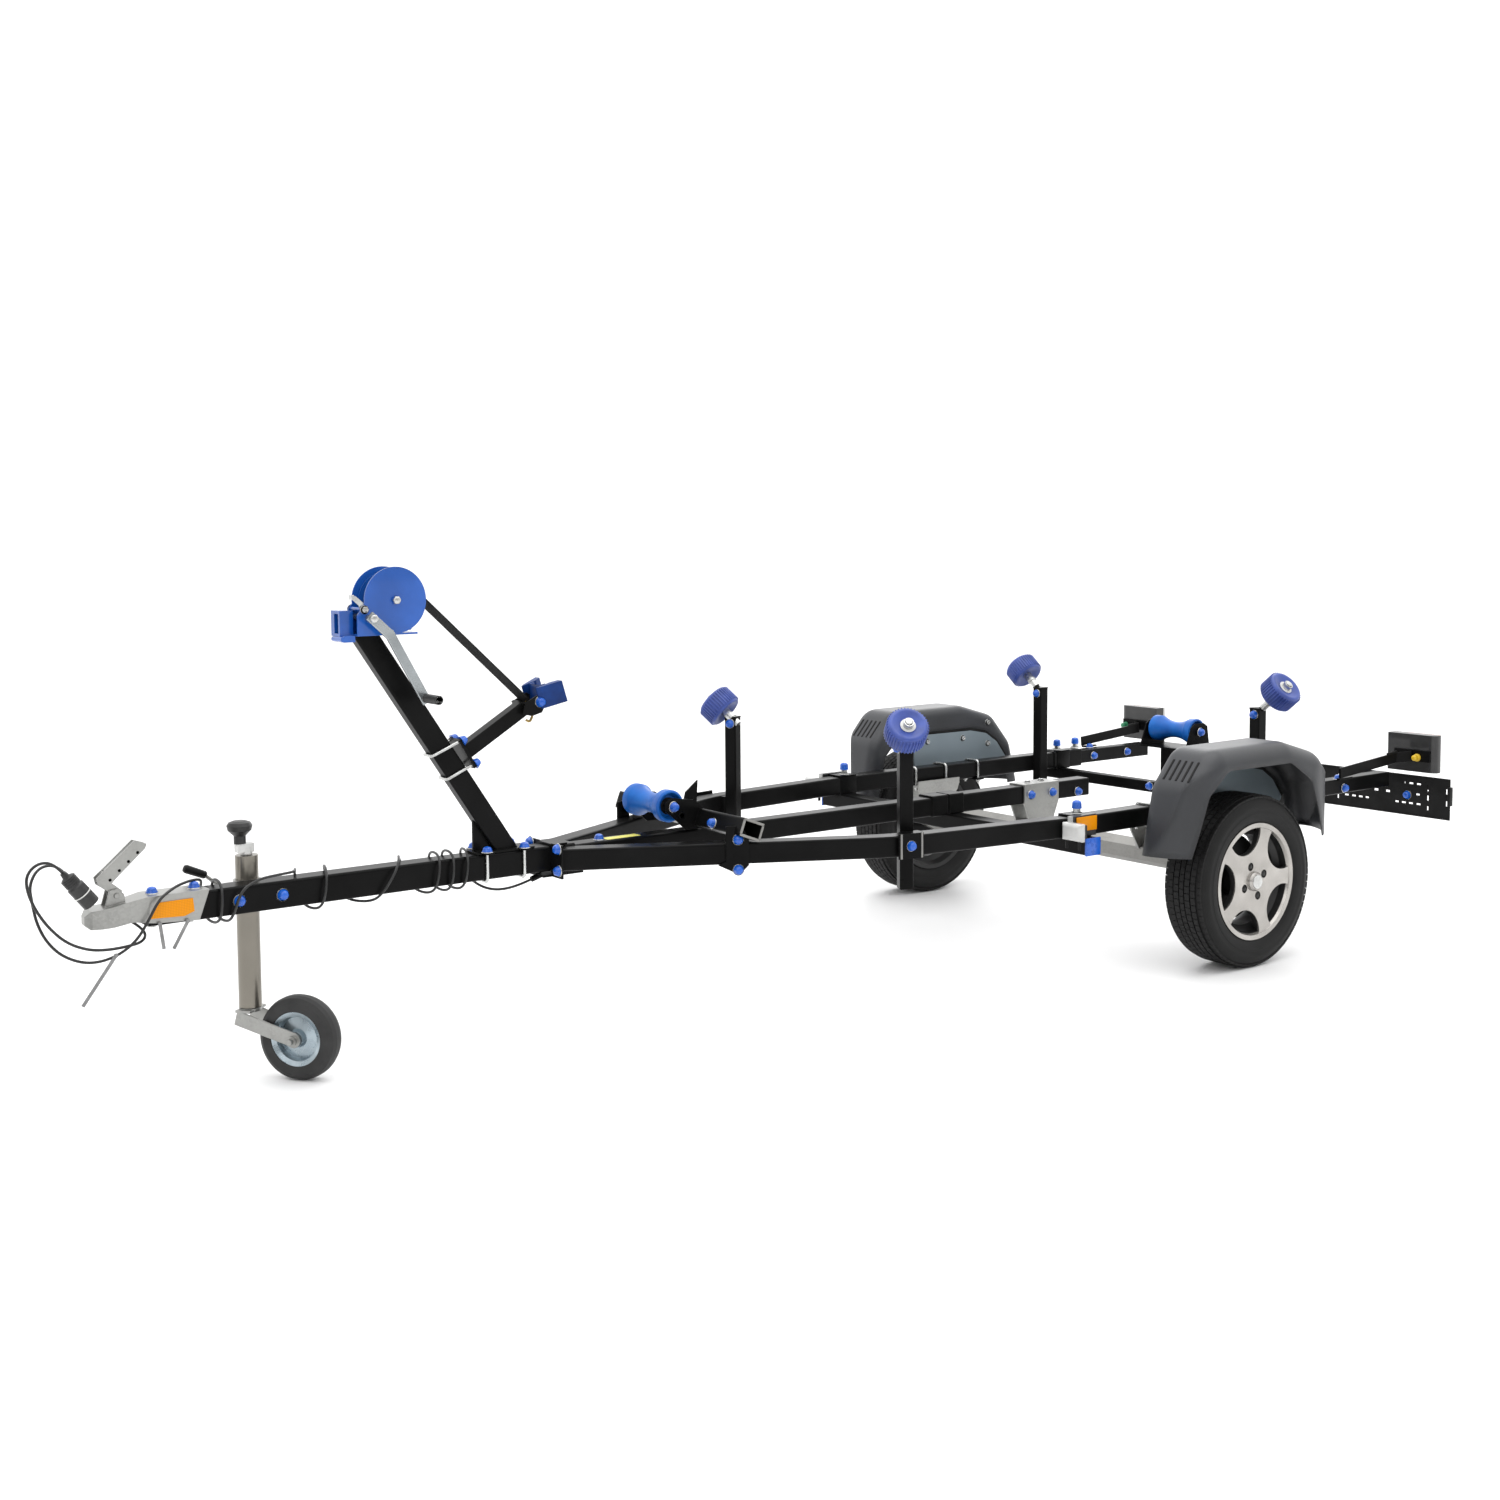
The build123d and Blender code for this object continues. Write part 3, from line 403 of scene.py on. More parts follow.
CABLE = finish_of("cable sheath", grey(0.006), grey(0.013), 40.0, (0.32, 0.46), bump=0.1, bump_scale=500.0)
PLUG = finish_of("plug plastic", grey(0.008), grey(0.018), 30.0, (0.34, 0.46), bump=0.15, bump_scale=420.0)
STRAP = webbing("winch strap", grey(0.002), grey(0.009))
DRUM = parted("strap on blue flanges", "Y", FLANGE_FROM_Y, (grey(0.006), grey(0.022), 0.85, 0.0),
              ((0.005, 0.068, 0.32), (0.012, 0.100, 0.45), 0.25, 0.0), bump=0.25, bump_scale=900.0)
CRANK = parted("plated crank with dark grip", "Y", GRIP_FROM_Y,
               ((0.29, 0.31, 0.32), (0.42, 0.45, 0.46), 0.26, 0.85), (grey(0.012), grey(0.026), 0.5, 0.0),
               bump=0.1, bump_scale=420.0)
MARKER = parted("clear marker lens", "X", MARKER_GLASS_X,
                ((0.40, 0.40, 0.39), (0.56, 0.56, 0.55), 0.15, 0.0), (grey(0.006), grey(0.014), 0.42, 0.0),
                both_sides=False, bump=0.12, bump_scale=260.0, eased=0.006)
KNOB = parted("plated stub under a black knob", "Z", KNOB_FROM_Z,
              ((0.40, 0.40, 0.39), (0.58, 0.58, 0.57), 0.3, 0.8), (grey(0.006), grey(0.014), 0.42, 0.0),
              both_sides=False)
REAR_LAMP = lamp_glass("rear lamp glass", LAMP_GLASS_X)
AMBER_LENS = lens("amber lens", (0.85, 0.30, 0.0015))
YELLOW = finish_of("yellow moulding", (0.55, 0.36, 0.015), (0.72, 0.48, 0.02), 40.0, (0.35, 0.5), bump=0.08)
GREEN = finish_of("green moulding", (0.008, 0.12, 0.05), (0.015, 0.19, 0.085), 40.0, (0.35, 0.5), bump=0.08)
LABEL = finish_of("blank yellow label", (0.58, 0.54, 0.07), (0.70, 0.66, 0.12), 30.0, (0.4, 0.5), bump=0.04)
WHITE_PLASTIC = finish_of("white nylon", (0.55, 0.55, 0.53), (0.68, 0.68, 0.66), 40.0, (0.34, 0.46),
                          bump=0.05)
HOOK_GOLD = finish_of("yellow passivated steel", (0.30, 0.20, 0.06), (0.44, 0.31, 0.11), 60.0, (0.3, 0.45),
                      metal=0.7, bump=0.08)
TIE = finish_of("grey cable tie", grey(0.16), grey(0.25), 50.0, (0.45, 0.6), bump=0.05)
# Dark steel; on the wheel bolts and on the coupling lever's hole discs this dark is painted shade in holes
DARK_STEEL_AND_HOLE_SHADE = finish_of("blackened steel and painted hole shade", grey(0.02), grey(0.045), 60.0, (0.3, 0.45), metal=0.7, bump=0.08)

NODE_FINISH = {"coupling_head": ZINC, "coupling_lever": ZINC, "drawbar": FRAME_BLACK,
               "jockey_bracket": ZINC, "jockey_outer_tube": TUBE_ZINC, "jockey_inner_tube": ZINC,
               "jockey_fork": ZINC, "jockey_handle": KNOB, "jockey_tyre": SOLID_RUBBER,
               "jockey_rim": BLUE_ZINC, "winch_post": FRAME_BLACK, "winch_frame": WINCH_BLUE,
               "winch_drum": DRUM, "winch_crank": CRANK, "winch_strap": STRAP, "snubber_arm": FRAME_BLACK,
               "bow_stop": STOP_BLUE, "side_rails": FRAME_BLACK, "rail_extensions": FRAME_BLACK,
               "centre_beam": FRAME_BLACK, "drawbar_clamp": FRAME_BLACK, "cross_members": FRAME_BLACK,
               "axle": AXLE_ZINC, "tyre_left": TYRE, "tyre_right": TYRE, "rim_left": RIM_SILVER_AND_SHADE, "rim_right": RIM_SILVER_AND_SHADE,
               "mudguards": GUARD, "mudguard_brackets": SHEET_ZINC, "axle_brackets": ZINC,
               "roller_posts": FRAME_BLACK, "side_roller_front_left": SIDE_BLUE,
               "side_roller_front_right": SIDE_BLUE, "side_roller_rear_left": SIDE_BLUE,
               "side_roller_rear_right": SIDE_BLUE, "keel_bracket_front": FRAME_BLACK,
               "keel_roller_front": KEEL_BLUE, "keel_bracket_rear": FRAME_BLACK,
               "keel_roller_rear": KEEL_BLUE, "marker_lamps": MARKER, "lamp_arms": FRAME_BLACK,
               "rear_lamps": REAR_LAMP, "number_plate_carrier": PLASTIC, "lead": CABLE, "plug": PLUG}
for node_name, finish in NODE_FINISH.items():
    part = bpy.data.objects[node_name]
    part.data.materials.clear()
    part.data.materials.append(finish)


# ------------------------------------------------------------------ camera, light and floor

EYE = at(-4.4728, -4.2089, 1.3748)
YAW, PITCH, ROLL = 0.6387, 0.0724, 0.0066
LENS, SENSOR, SHIFT = 42.39, 36.0, -0.0633
# Strength of the surroundings: behind the camera, ahead of it and straight up
DARK_SIDE, BRIGHT_SIDE, ZENITH = 0.24, 1.25, 1.65


def make_camera():
    """Camera at EYE, turned by YAW from +Y towards +X, tipped down by PITCH and rolled by ROLL."""
    forward = Vector((sin(YAW) * cos(PITCH), cos(YAW) * cos(PITCH), -sin(PITCH)))
    right = Vector((cos(YAW), -sin(YAW), 0.0))
    down = forward.cross(right)
    across = cos(ROLL) * right + sin(ROLL) * down
    below = cos(ROLL) * down - sin(ROLL) * right
    data = bpy.data.cameras.new("camera")
    data.lens = LENS
    data.sensor_width = SENSOR
    data.shift_y = SHIFT
    camera = bpy.data.objects.new("camera", data)
    camera.matrix_world = Matrix((across, -below, -forward)).transposed().to_4x4()
    camera.location = EYE
    bpy.context.collection.objects.link(camera)
    bpy.context.scene.camera = camera


def area_light(name, place, aim, size, power):
    data = bpy.data.lights.new(name, "AREA")
    data.shape = "DISK"
    data.size = size
    data.energy = power
    lamp = bpy.data.objects.new(name, data)
    lamp.location = place
    lamp.rotation_euler = (Vector(aim) - Vector(place)).to_track_quat("-Z", "Y").to_euler()
    bpy.context.collection.objects.link(lamp)


def make_studio():
    """Pale floor, white surroundings and three large soft lights, shown without a film curve."""
    bpy.context.scene.view_settings.view_transform = "Standard"
    bpy.ops.mesh.primitive_plane_add(size=80.0)
    floor = bpy.context.object
    floor.name = "floor"
    floor.data.materials.append(finish_of("studio floor", grey(0.86), grey(0.88), 0.4, (0.55, 0.65),
                                          bump=0.02))
    world = bpy.data.worlds.new("studio")
    bpy.context.scene.world = world
    world.use_nodes = True
    nodes, links = world.node_tree.nodes, world.node_tree.links
    place = nodes.new("ShaderNodeTexCoord")
    ahead = nodes.new("ShaderNodeVectorMath")
    ahead.operation = "DOT_PRODUCT"
    ahead.inputs[1].default_value = (sin(YAW), cos(YAW), 0.0)
    level = nodes.new("ShaderNodeMapRange")
    for label, value in (("From Min", -0.6), ("From Max", 0.5), ("To Min", DARK_SIDE),
                         ("To Max", BRIGHT_SIDE)):
        level.inputs[label].default_value = value
    height = nodes.new("ShaderNodeSeparateXYZ")
    sky = nodes.new("ShaderNodeMapRange")
    sky.inputs["From Max"].default_value = 0.8
    strength = nodes.new("ShaderNodeMix")
    strength.inputs[3].default_value = ZENITH
    links.new(place.outputs["Generated"], ahead.inputs[0])
    links.new(place.outputs["Generated"], height.inputs["Vector"])
    links.new(ahead.outputs["Value"], level.inputs["Value"])
    links.new(height.outputs["Z"], sky.inputs["Value"])
    links.new(sky.outputs["Result"], strength.inputs[0])
    links.new(level.outputs["Result"], strength.inputs[2])
    links.new(strength.outputs[0], nodes["Background"].inputs["Strength"])
    nodes["Background"].inputs["Color"].default_value = (1.0, 1.0, 1.0, 1.0)
    area_light("overhead", (0.5, -0.5, 6.0), (0.0, 0.0, 0.4), 6.0, 120.0)
    area_light("front left", (-6.0, -5.0, 4.5), (0.0, 0.0, 0.5), 4.0, 45.0)
    area_light("right rear", (6.0, 5.0, 4.0), (0.5, 0.0, 0.5), 4.0, 90.0)


make_camera()
make_studio()


# ------------------------------------------------------------------ shapes

class Shape:
    """Closed solids gathered into one mesh, drawn in the frame."""

    def __init__(self):
        self.mesh = bmesh.new()

    def block(self, low, high, ease=0.0):
        """Block between two corners, its edges eased."""
        made = bmesh.ops.create_cube(self.mesh, size=1.0)["verts"]
        size = Vector(high) - Vector(low)
        middle = (Vector(high) + Vector(low)) / 2
        for vertex in made:
            vertex.co = Vector([c * s for c, s in zip(vertex.co, size)]) + middle
        if ease:
            edges = list({edge for vertex in made for edge in vertex.link_edges})
            bmesh.ops.bevel(self.mesh, geom=edges, offset=ease, segments=2, affect="EDGES", profile=0.5)

    def bar(self, a, b, width, height, side=FAR):
        """Flat bar from a to b; width lies along side."""
        a, b = Vector(a), Vector(b)
        run = b - a
        way = run.normalized()
        across = (Vector(side) - way * way.dot(Vector(side))).normalized()
        deep = way.cross(across)
        corners = [(s * across * width + t * deep * height) / 2
                   for s, t in ((-1, -1), (1, -1), (1, 1), (-1, 1))]
        self.rings([[a + c for c in corners], [b + c for c in corners]])

    def rings(self, rings):
        """Skin over rings of like points, closed at both ends."""
        loops = [[self.mesh.verts.new(point) for point in ring] for ring in rings]
        count = len(loops[0])
        for first, second in zip(loops, loops[1:]):
            for i in range(count):
                j = (i + 1) % count
                self.mesh.faces.new((first[i], first[j], second[j], second[i]))
        self.mesh.faces.new(loops[0][::-1])
        self.mesh.faces.new(loops[-1])

    def turned(self, outline, centre, axis, steps=48):
        """Closed outline of (along, radius) points turned about an axis through centre."""
        way = Vector(axis).normalized()
        up = Vector(FRONT) if abs(way.z) > 0.9 else Vector(UP)
        out = (up - way * way.dot(up)).normalized()
        third = way.cross(out)
        loops = []
        for along, radius in outline:
            middle = Vector(centre) + way * along
            if radius == 0:
                pole = self.mesh.verts.new(middle)
                loops.append([pole] * steps)
                continue
            turn = [2 * pi * i / steps for i in range(steps)]
            loops.append([self.mesh.verts.new(middle + radius * (cos(t) * out + sin(t) * third))
                          for t in turn])
        for first, second in zip(loops, loops[1:] + loops[:1]):
            for i in range(steps):
                j = (i + 1) % steps
                corners = dict.fromkeys((first[i], first[j], second[j], second[i]))
                if len(corners) > 2:
                    self.mesh.faces.new(tuple(corners))

    def plate(self, outline, y_low, y_high):
        """Plate standing along the trailer, from its outline of (x, z) points."""
        self.rings([[at(x, y, z) for x, z in outline] for y in (y_low, y_high)])

    def add(self, mesh, place=Matrix.Identity(4)):
        """A finished mesh, put in its place."""
        copy = mesh.copy()
        copy.transform(place)
        self.mesh.from_mesh(copy)
        bpy.data.meshes.remove(copy)

    def mirrored(self):
        """Adds the twin of everything on the trailer's other side."""
        twins = bmesh.ops.duplicate(self.mesh, geom=self.mesh.faces[:])["geom"]
        for vertex in (v for v in twins if isinstance(v, bmesh.types.BMVert)):
            vertex.co.y = -vertex.co.y
        return self

    def as_mesh(self, name, finish):
        bmesh.ops.recalc_face_normals(self.mesh, faces=self.mesh.faces)
        mesh = bpy.data.meshes.new(name)
        self.mesh.to_mesh(mesh)
        self.mesh.free()
        mesh.materials.clear()
        mesh.materials.append(finish)
        mesh.shade_smooth()
        mesh.set_sharp_from_angle(angle=radians(38.0))
        return mesh

    def piece(self, name, finish, body, slot, *nodes):
        """The finished piece, riding on its body and standing for the given nodes."""
        return settle(name, self.as_mesh(name, finish), body, slot, *nodes)


def settle(name, mesh, body, slot, *nodes):
    made = bpy.data.objects.new(name, mesh)
    bpy.context.collection.objects.link(made)
    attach(made, body)
    if nodes:
        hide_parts(*nodes)
    return made


def new_tree(name, sockets):
    """Geometry tree with its inputs; gives the tree, its entry and a maker of nodes."""
    tree = bpy.data.node_groups.new(name, "GeometryNodeTree")
    tree.interface.new_socket("Geometry", in_out="INPUT", socket_type="NodeSocketGeometry")
    for label, kind in sockets:
        tree.interface.new_socket(label, in_out="INPUT", socket_type=kind)
    tree.interface.new_socket("Geometry", in_out="OUTPUT", socket_type="NodeSocketGeometry")

    def node(kind, **settings):
        made = tree.nodes.new(kind)
        for key, value in settings.items():
            setattr(made, key, value)
        return made

    return tree, node("NodeGroupInput"), node


def finish_tree(tree, entry, node, geometry):
    """Ends a tree: instances made real, then the finish given by its input."""
    real = node("GeometryNodeRealizeInstances")
    painted = node("GeometryNodeSetMaterial")
    leave = node("NodeGroupOutput")
    tree.links.new(geometry, real.inputs["Geometry"])
    tree.links.new(real.outputs["Geometry"], painted.inputs["Geometry"])
    tree.links.new(entry.outputs["Finish"], painted.inputs["Material"])
    tree.links.new(painted.outputs["Geometry"], leave.inputs["Geometry"])
    return tree


def round_axis_tree():
    """Repeats a piece Count times about Z."""
    tree, entry, node = new_tree("repeated round an axis", [("Count", "NodeSocketInt"),
                                                            ("Finish", "NodeSocketMaterial")])
    points = node("GeometryNodePoints")
    index = node("GeometryNodeInputIndex")
    step = node("ShaderNodeMath", operation="DIVIDE")
    step.inputs[0].default_value = 2 * pi
    turn = node("ShaderNodeMath", operation="MULTIPLY")
    about_z = node("ShaderNodeCombineXYZ")
    copies = node("GeometryNodeInstanceOnPoints")
    tree.links.new(entry.outputs["Count"], points.inputs["Count"])
    tree.links.new(entry.outputs["Count"], step.inputs[1])
    tree.links.new(index.outputs["Index"], turn.inputs[0])
    tree.links.new(step.outputs["Value"], turn.inputs[1])
    tree.links.new(turn.outputs["Value"], about_z.inputs["Z"])
    tree.links.new(points.outputs["Points"], copies.inputs["Points"])
    tree.links.new(entry.outputs["Geometry"], copies.inputs["Instance"])
    tree.links.new(about_z.outputs["Vector"], copies.inputs["Rotation"])
    return finish_tree(tree, entry, node, copies.outputs["Instances"])


def fastener_tree():
    """Sets a nut, washer or domed cap on every point, standing along the point's own way."""
    tree, entry, node = new_tree("fasteners", [
        ("Sides", "NodeSocketInt"), ("Foot Radius", "NodeSocketFloat"), ("Top Radius", "NodeSocketFloat"),
        ("Height", "NodeSocketFloat"), ("Dome", "NodeSocketFloat"), ("Finish", "NodeSocketMaterial")])
    stem = node("GeometryNodeMeshCone")
    crown = node("GeometryNodeMeshUVSphere")
    crown.inputs["Rings"].default_value = 8
    lifted = node("ShaderNodeCombineXYZ")
    flattened = node("ShaderNodeCombineXYZ")
    flattened.inputs["X"].default_value = 1.0
    flattened.inputs["Y"].default_value = 1.0
    moved = node("GeometryNodeTransform")
    both = node("GeometryNodeJoinGeometry")
    way = node("GeometryNodeInputNamedAttribute", data_type="FLOAT_VECTOR")
    way.inputs["Name"].default_value = "way"
    aligned = node("FunctionNodeAlignRotationToVector", axis="Z")
    copies = node("GeometryNodeInstanceOnPoints")
    for source, target in (("Sides", stem.inputs["Vertices"]),
                           ("Foot Radius", stem.inputs["Radius Bottom"]),
                           ("Top Radius", stem.inputs["Radius Top"]), ("Height", stem.inputs["Depth"]),
                           ("Sides", crown.inputs["Segments"]), ("Top Radius", crown.inputs["Radius"]),
                           ("Height", lifted.inputs["Z"]), ("Dome", flattened.inputs["Z"]),
                           ("Geometry", copies.inputs["Points"])):
        tree.links.new(entry.outputs[source], target)
    tree.links.new(crown.outputs["Mesh"], moved.inputs["Geometry"])
    tree.links.new(lifted.outputs["Vector"], moved.inputs["Translation"])
    tree.links.new(flattened.outputs["Vector"], moved.inputs["Scale"])
    tree.links.new(stem.outputs["Mesh"], both.inputs["Geometry"])
    tree.links.new(moved.outputs["Geometry"], both.inputs["Geometry"])
    tree.links.new(way.outputs["Attribute"], aligned.inputs["Vector"])
    tree.links.new(both.outputs["Geometry"], copies.inputs["Instance"])
    tree.links.new(aligned.outputs["Rotation"], copies.inputs["Rotation"])
    return finish_tree(tree, entry, node, copies.outputs["Instances"])


def bent_rod_tree():
    """Turns every line of edges into a round rod, its corners bent."""
    tree, entry, node = new_tree("bent rods", [
        ("Rod Radius", "NodeSocketFloat"), ("Bend Radius", "NodeSocketFloat"),
        ("Finish", "NodeSocketMaterial")])
    line = node("GeometryNodeMeshToCurve")
    bent = node("GeometryNodeFilletCurve")
    if hasattr(bent, "mode"):
        bent.mode = "POLY"
    bent.inputs["Count"].default_value = 6
    section = node("GeometryNodeCurvePrimitiveCircle")
    section.inputs["Resolution"].default_value = 12
    swept = node("GeometryNodeCurveToMesh")
    swept.inputs["Fill Caps"].default_value = True
    tree.links.new(entry.outputs["Geometry"], line.inputs["Mesh"])
    tree.links.new(line.outputs["Curve"], bent.inputs["Curve"])
    tree.links.new(entry.outputs["Bend Radius"], bent.inputs["Radius"])
    tree.links.new(entry.outputs["Rod Radius"], section.inputs["Radius"])
    tree.links.new(bent.outputs["Curve"], swept.inputs["Curve"])
    tree.links.new(section.outputs["Curve"], swept.inputs["Profile Curve"])
    return finish_tree(tree, entry, node, swept.outputs["Mesh"])


ROUND_AXIS = round_axis_tree()
FASTENERS = fastener_tree()
BENT_RODS = bent_rod_tree()


def grown(tree, seed_mesh, **values):
    """Plain mesh that a tree makes of a seed mesh, its named inputs set first."""
    seed = bpy.data.objects.new("seed", seed_mesh)
    bpy.context.collection.objects.link(seed)
    growth = seed.modifiers.new("growth", "NODES")
    growth.node_group = tree
    for item in tree.interface.items_tree:
        label = item.name.replace(" ", "_").lower()
        if item.item_type == "SOCKET" and item.in_out == "INPUT" and label in values:
            growth[item.identifier] = values[label]
    seed.update_tag()
    view = bpy.context.evaluated_depsgraph_get()
    made = bpy.data.meshes.new_from_object(seed.evaluated_get(view), depsgraph=view)
    seed.modifiers.remove(growth)
    bpy.data.objects.remove(seed)
    bpy.data.meshes.remove(seed_mesh)
    made.shade_smooth()
    made.set_sharp_from_angle(angle=radians(38.0))
    return made


def fasteners(name, places, body, slot, sides=6, radius=0.008, top=None, height=0.006, dome=0.0,
              finish=None):
    """Fasteners of one kind at (x, y, z, way) places, as one piece."""
    seed_mesh = bpy.data.meshes.new(name)
    seed_mesh.from_pydata([at(*place[:3]) for place in places], [], [])
    way = seed_mesh.attributes.new("way", "FLOAT_VECTOR", "POINT")
    for item, place in zip(way.data, places):
        item.vector = Vector(place[3]).normalized()
    mesh = grown(FASTENERS, seed_mesh, sides=sides, foot_radius=radius, top_radius=top or radius * 0.94,
                 height=height, dome=dome, finish=finish)
    return settle(name, mesh, body, slot)


def rods(name, lines, body, slot, radius, bend, finish):
    """Bent rods along lines of frame points, as one piece."""
    points = [point for line in lines for point in line]
    edges = []
    first = 0
    for line in lines:
        edges += [(first + i, first + i + 1) for i in range(len(line) - 1)]
        first += len(line)
    seed_mesh = bpy.data.meshes.new(name)
    seed_mesh.from_pydata(points, edges, [])
    mesh = grown(BENT_RODS, seed_mesh, rod_radius=radius, bend_radius=bend, finish=finish)
    return settle(name, mesh, body, slot)


def pair(x, y, z, way=NEAR):
    """A place on the near side and its twin on the far side."""
    return [(x, -y, z, way), (x, y, z, (way[0], -way[1], way[2]))]


def facing(centre, axis):
    """Matrix that sets a piece drawn about Z onto an axis through centre."""
    return Matrix.Translation(centre) @ Vector(axis).to_track_quat("Z", "X").to_matrix().to_4x4()



# ------------------------------------------------------------------ electric lead
# The same points as the frame's lead, kept here because its line is one spline.

GROMMET = (-2.100, 0.0, 0.414)
PLUG_TAIL = at(-3.349, -0.034, 0.590)
PLUG_FACE = at(-3.287, -0.034, 0.511)
PLUG_WAY = (PLUG_FACE - PLUG_TAIL).normalized()
PLUG_STRAIGHT = 0.034

LEAD_START = [GROMMET, (-2.158, -0.004, 0.398), (-2.222, 0.016, 0.396), (-2.268, 0.046, 0.428),
              (-2.289, 0.053, 0.486), (-2.300, 0.028, 0.522)]

# Eight points of one turn round the drawbar, as (y, z - DRAWBAR_Z)
TURN = [(-0.027, 0.051), (-0.051, 0.027), (-0.051, -0.027), (-0.027, -0.051),
        (0.027, -0.051), (0.051, -0.027), (0.051, 0.027), (0.027, 0.051)]

# x of the points of TURN, in order
LEAD_TURNS = [-2.311, -2.318, -2.325, -2.332, -2.337, -2.342, -2.347, -2.351,
              -2.355, -2.359, -2.365, -2.370, -2.375, -2.380, -2.385, -2.389,
              -2.394, -2.400, -2.409, -2.417, -2.431, -2.444, -2.466, -2.482,
              -2.506, -2.524, -2.562, -2.584, -2.622, -2.646, -2.676, -2.690,
              -2.706, -2.714, -2.722, -2.730, -2.740, -2.748, -2.758, -2.766]

LEAD_TOP = [(-2.786, -0.024, 0.523), (-2.836, -0.036, 0.523), (-2.892, -0.042, 0.519),
            (-2.938, -0.056, 0.498)]

# x of the points of TURN again, from the second on
LEAD_NOSE_TURNS = [-2.954, -2.960, -2.965, -2.969, -2.973, -2.976, -2.979,
                   -2.982, -2.985, -2.989, -2.993, -2.997, -3.001, -3.005]
NOSE_FIRST = 2

LEAD_LOOPS = [(-3.032, 0.002, 0.530), (-3.072, -0.014, 0.526), (-3.104, -0.040, 0.520),
              (-3.138, -0.057, 0.503), (-3.164, -0.060, 0.458), (-3.193, -0.054, 0.410),
              (-3.240, -0.046, 0.378), (-3.298, -0.038, 0.369), (-3.352, -0.030, 0.392),
              (-3.386, -0.022, 0.430), (-3.405, -0.014, 0.476), (-3.411, -0.006, 0.520),
              (-3.414, 0.006, 0.562), (-3.390, 0.020, 0.598), (-3.350, 0.036, 0.600),
              (-3.318, 0.047, 0.570), (-3.294, 0.054, 0.530), (-3.270, 0.060, 0.494),
              (-3.236, 0.064, 0.468), (-3.196, 0.062, 0.452), (-3.162, 0.046, 0.432),
              (-3.148, 0.010, 0.412), (-3.168, -0.022, 0.400), (-3.208, -0.036, 0.398),
              (-3.250, -0.040, 0.397), (-3.295, -0.042, 0.402), (-3.345, -0.042, 0.425),
              (-3.383, -0.042, 0.464), (-3.411, -0.041, 0.508), (-3.429, -0.039, 0.554),
              (-3.431, -0.037, 0.594), (-3.405, -0.034, 0.619)]


def turns_of(places, first):
    """Points of the turns round the drawbar, starting at point number first of a turn."""
    sides = [TURN[(first + i) % len(TURN)] for i in range(len(places))]
    return [(x, y, DRAWBAR_Z + z) for x, (y, z) in zip(places, sides)]


def electric_lead():
    back_turns = turns_of(LEAD_TURNS, 0)
    nose_turns = turns_of(LEAD_NOSE_TURNS, NOSE_FIRST)
    route = LEAD_START + back_turns + LEAD_TOP + nose_turns + LEAD_LOOPS
    points = [at(*point) for point in route] + [PLUG_TAIL - PLUG_WAY * PLUG_STRAIGHT, PLUG_TAIL]
    data = bpy.data.curves.new("electric_lead", "CURVE")
    data.dimensions = "3D"
    spline = data.splines.new("NURBS")
    spline.points.add(len(points) - 1)
    for knot, point in zip(spline.points, points):
        knot.co = (*point, 1.0)
    spline.order_u = 3
    spline.use_endpoint_u = True
    spline.resolution_u = 8
    data.bevel_depth = LEAD_R
    data.bevel_resolution = 3
    data.use_fill_caps = True
    data.materials.append(CABLE)
    lead = bpy.data.objects.new("electric_lead", data)
    bpy.context.collection.objects.link(lead)
    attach(lead, "chassis")
    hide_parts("lead")
    return lead


def plug_trim():
    """Pale ring near the plug's face and the ribs of its grip."""
    ring = Shape()
    ring.turned([(0.067, 0.0206), (0.067, 0.0216), (0.0695, 0.0216), (0.0695, 0.0206)], PLUG_TAIL, PLUG_WAY)
    ribs = Shape()
    for i in range(4):
        start = 0.018 + 0.0055 * i
        ribs.turned([(start, 0.0165), (start, 0.0184), (start + 0.003, 0.0184), (start + 0.003, 0.0165)],
                    PLUG_TAIL, PLUG_WAY)
    return [ring.piece("plug_ring", WHITE_PLASTIC, "chassis", "black_plastic"),
            ribs.piece("plug_ribs", PLUG, "chassis", "black_plastic")]


electric_lead()
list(plug_trim())


def cable_ties():
    """Grey ties round the lead, their tails sticking out; start, end."""
    ties = Shape()
    for a, b in (((-3.239, -0.050, 0.384), (-3.322, -0.062, 0.278)),
                 ((-3.133, -0.045, 0.443), (-3.125, -0.045, 0.381)),
                 ((-3.066, -0.045, 0.441), (-3.102, -0.045, 0.378))):
        ties.bar(at(*a), at(*b), 0.0012, 0.0085)
        ties.block(at(a[0] - 0.004, a[1] - 0.004, a[2] - 0.004),
                   at(a[0] + 0.004, a[1] + 0.004, a[2] + 0.004), 0.001)
    ties.piece("cable_ties", TIE, "chassis", "black_plastic")


# ------------------------------------------------------------------ wheels and rollers

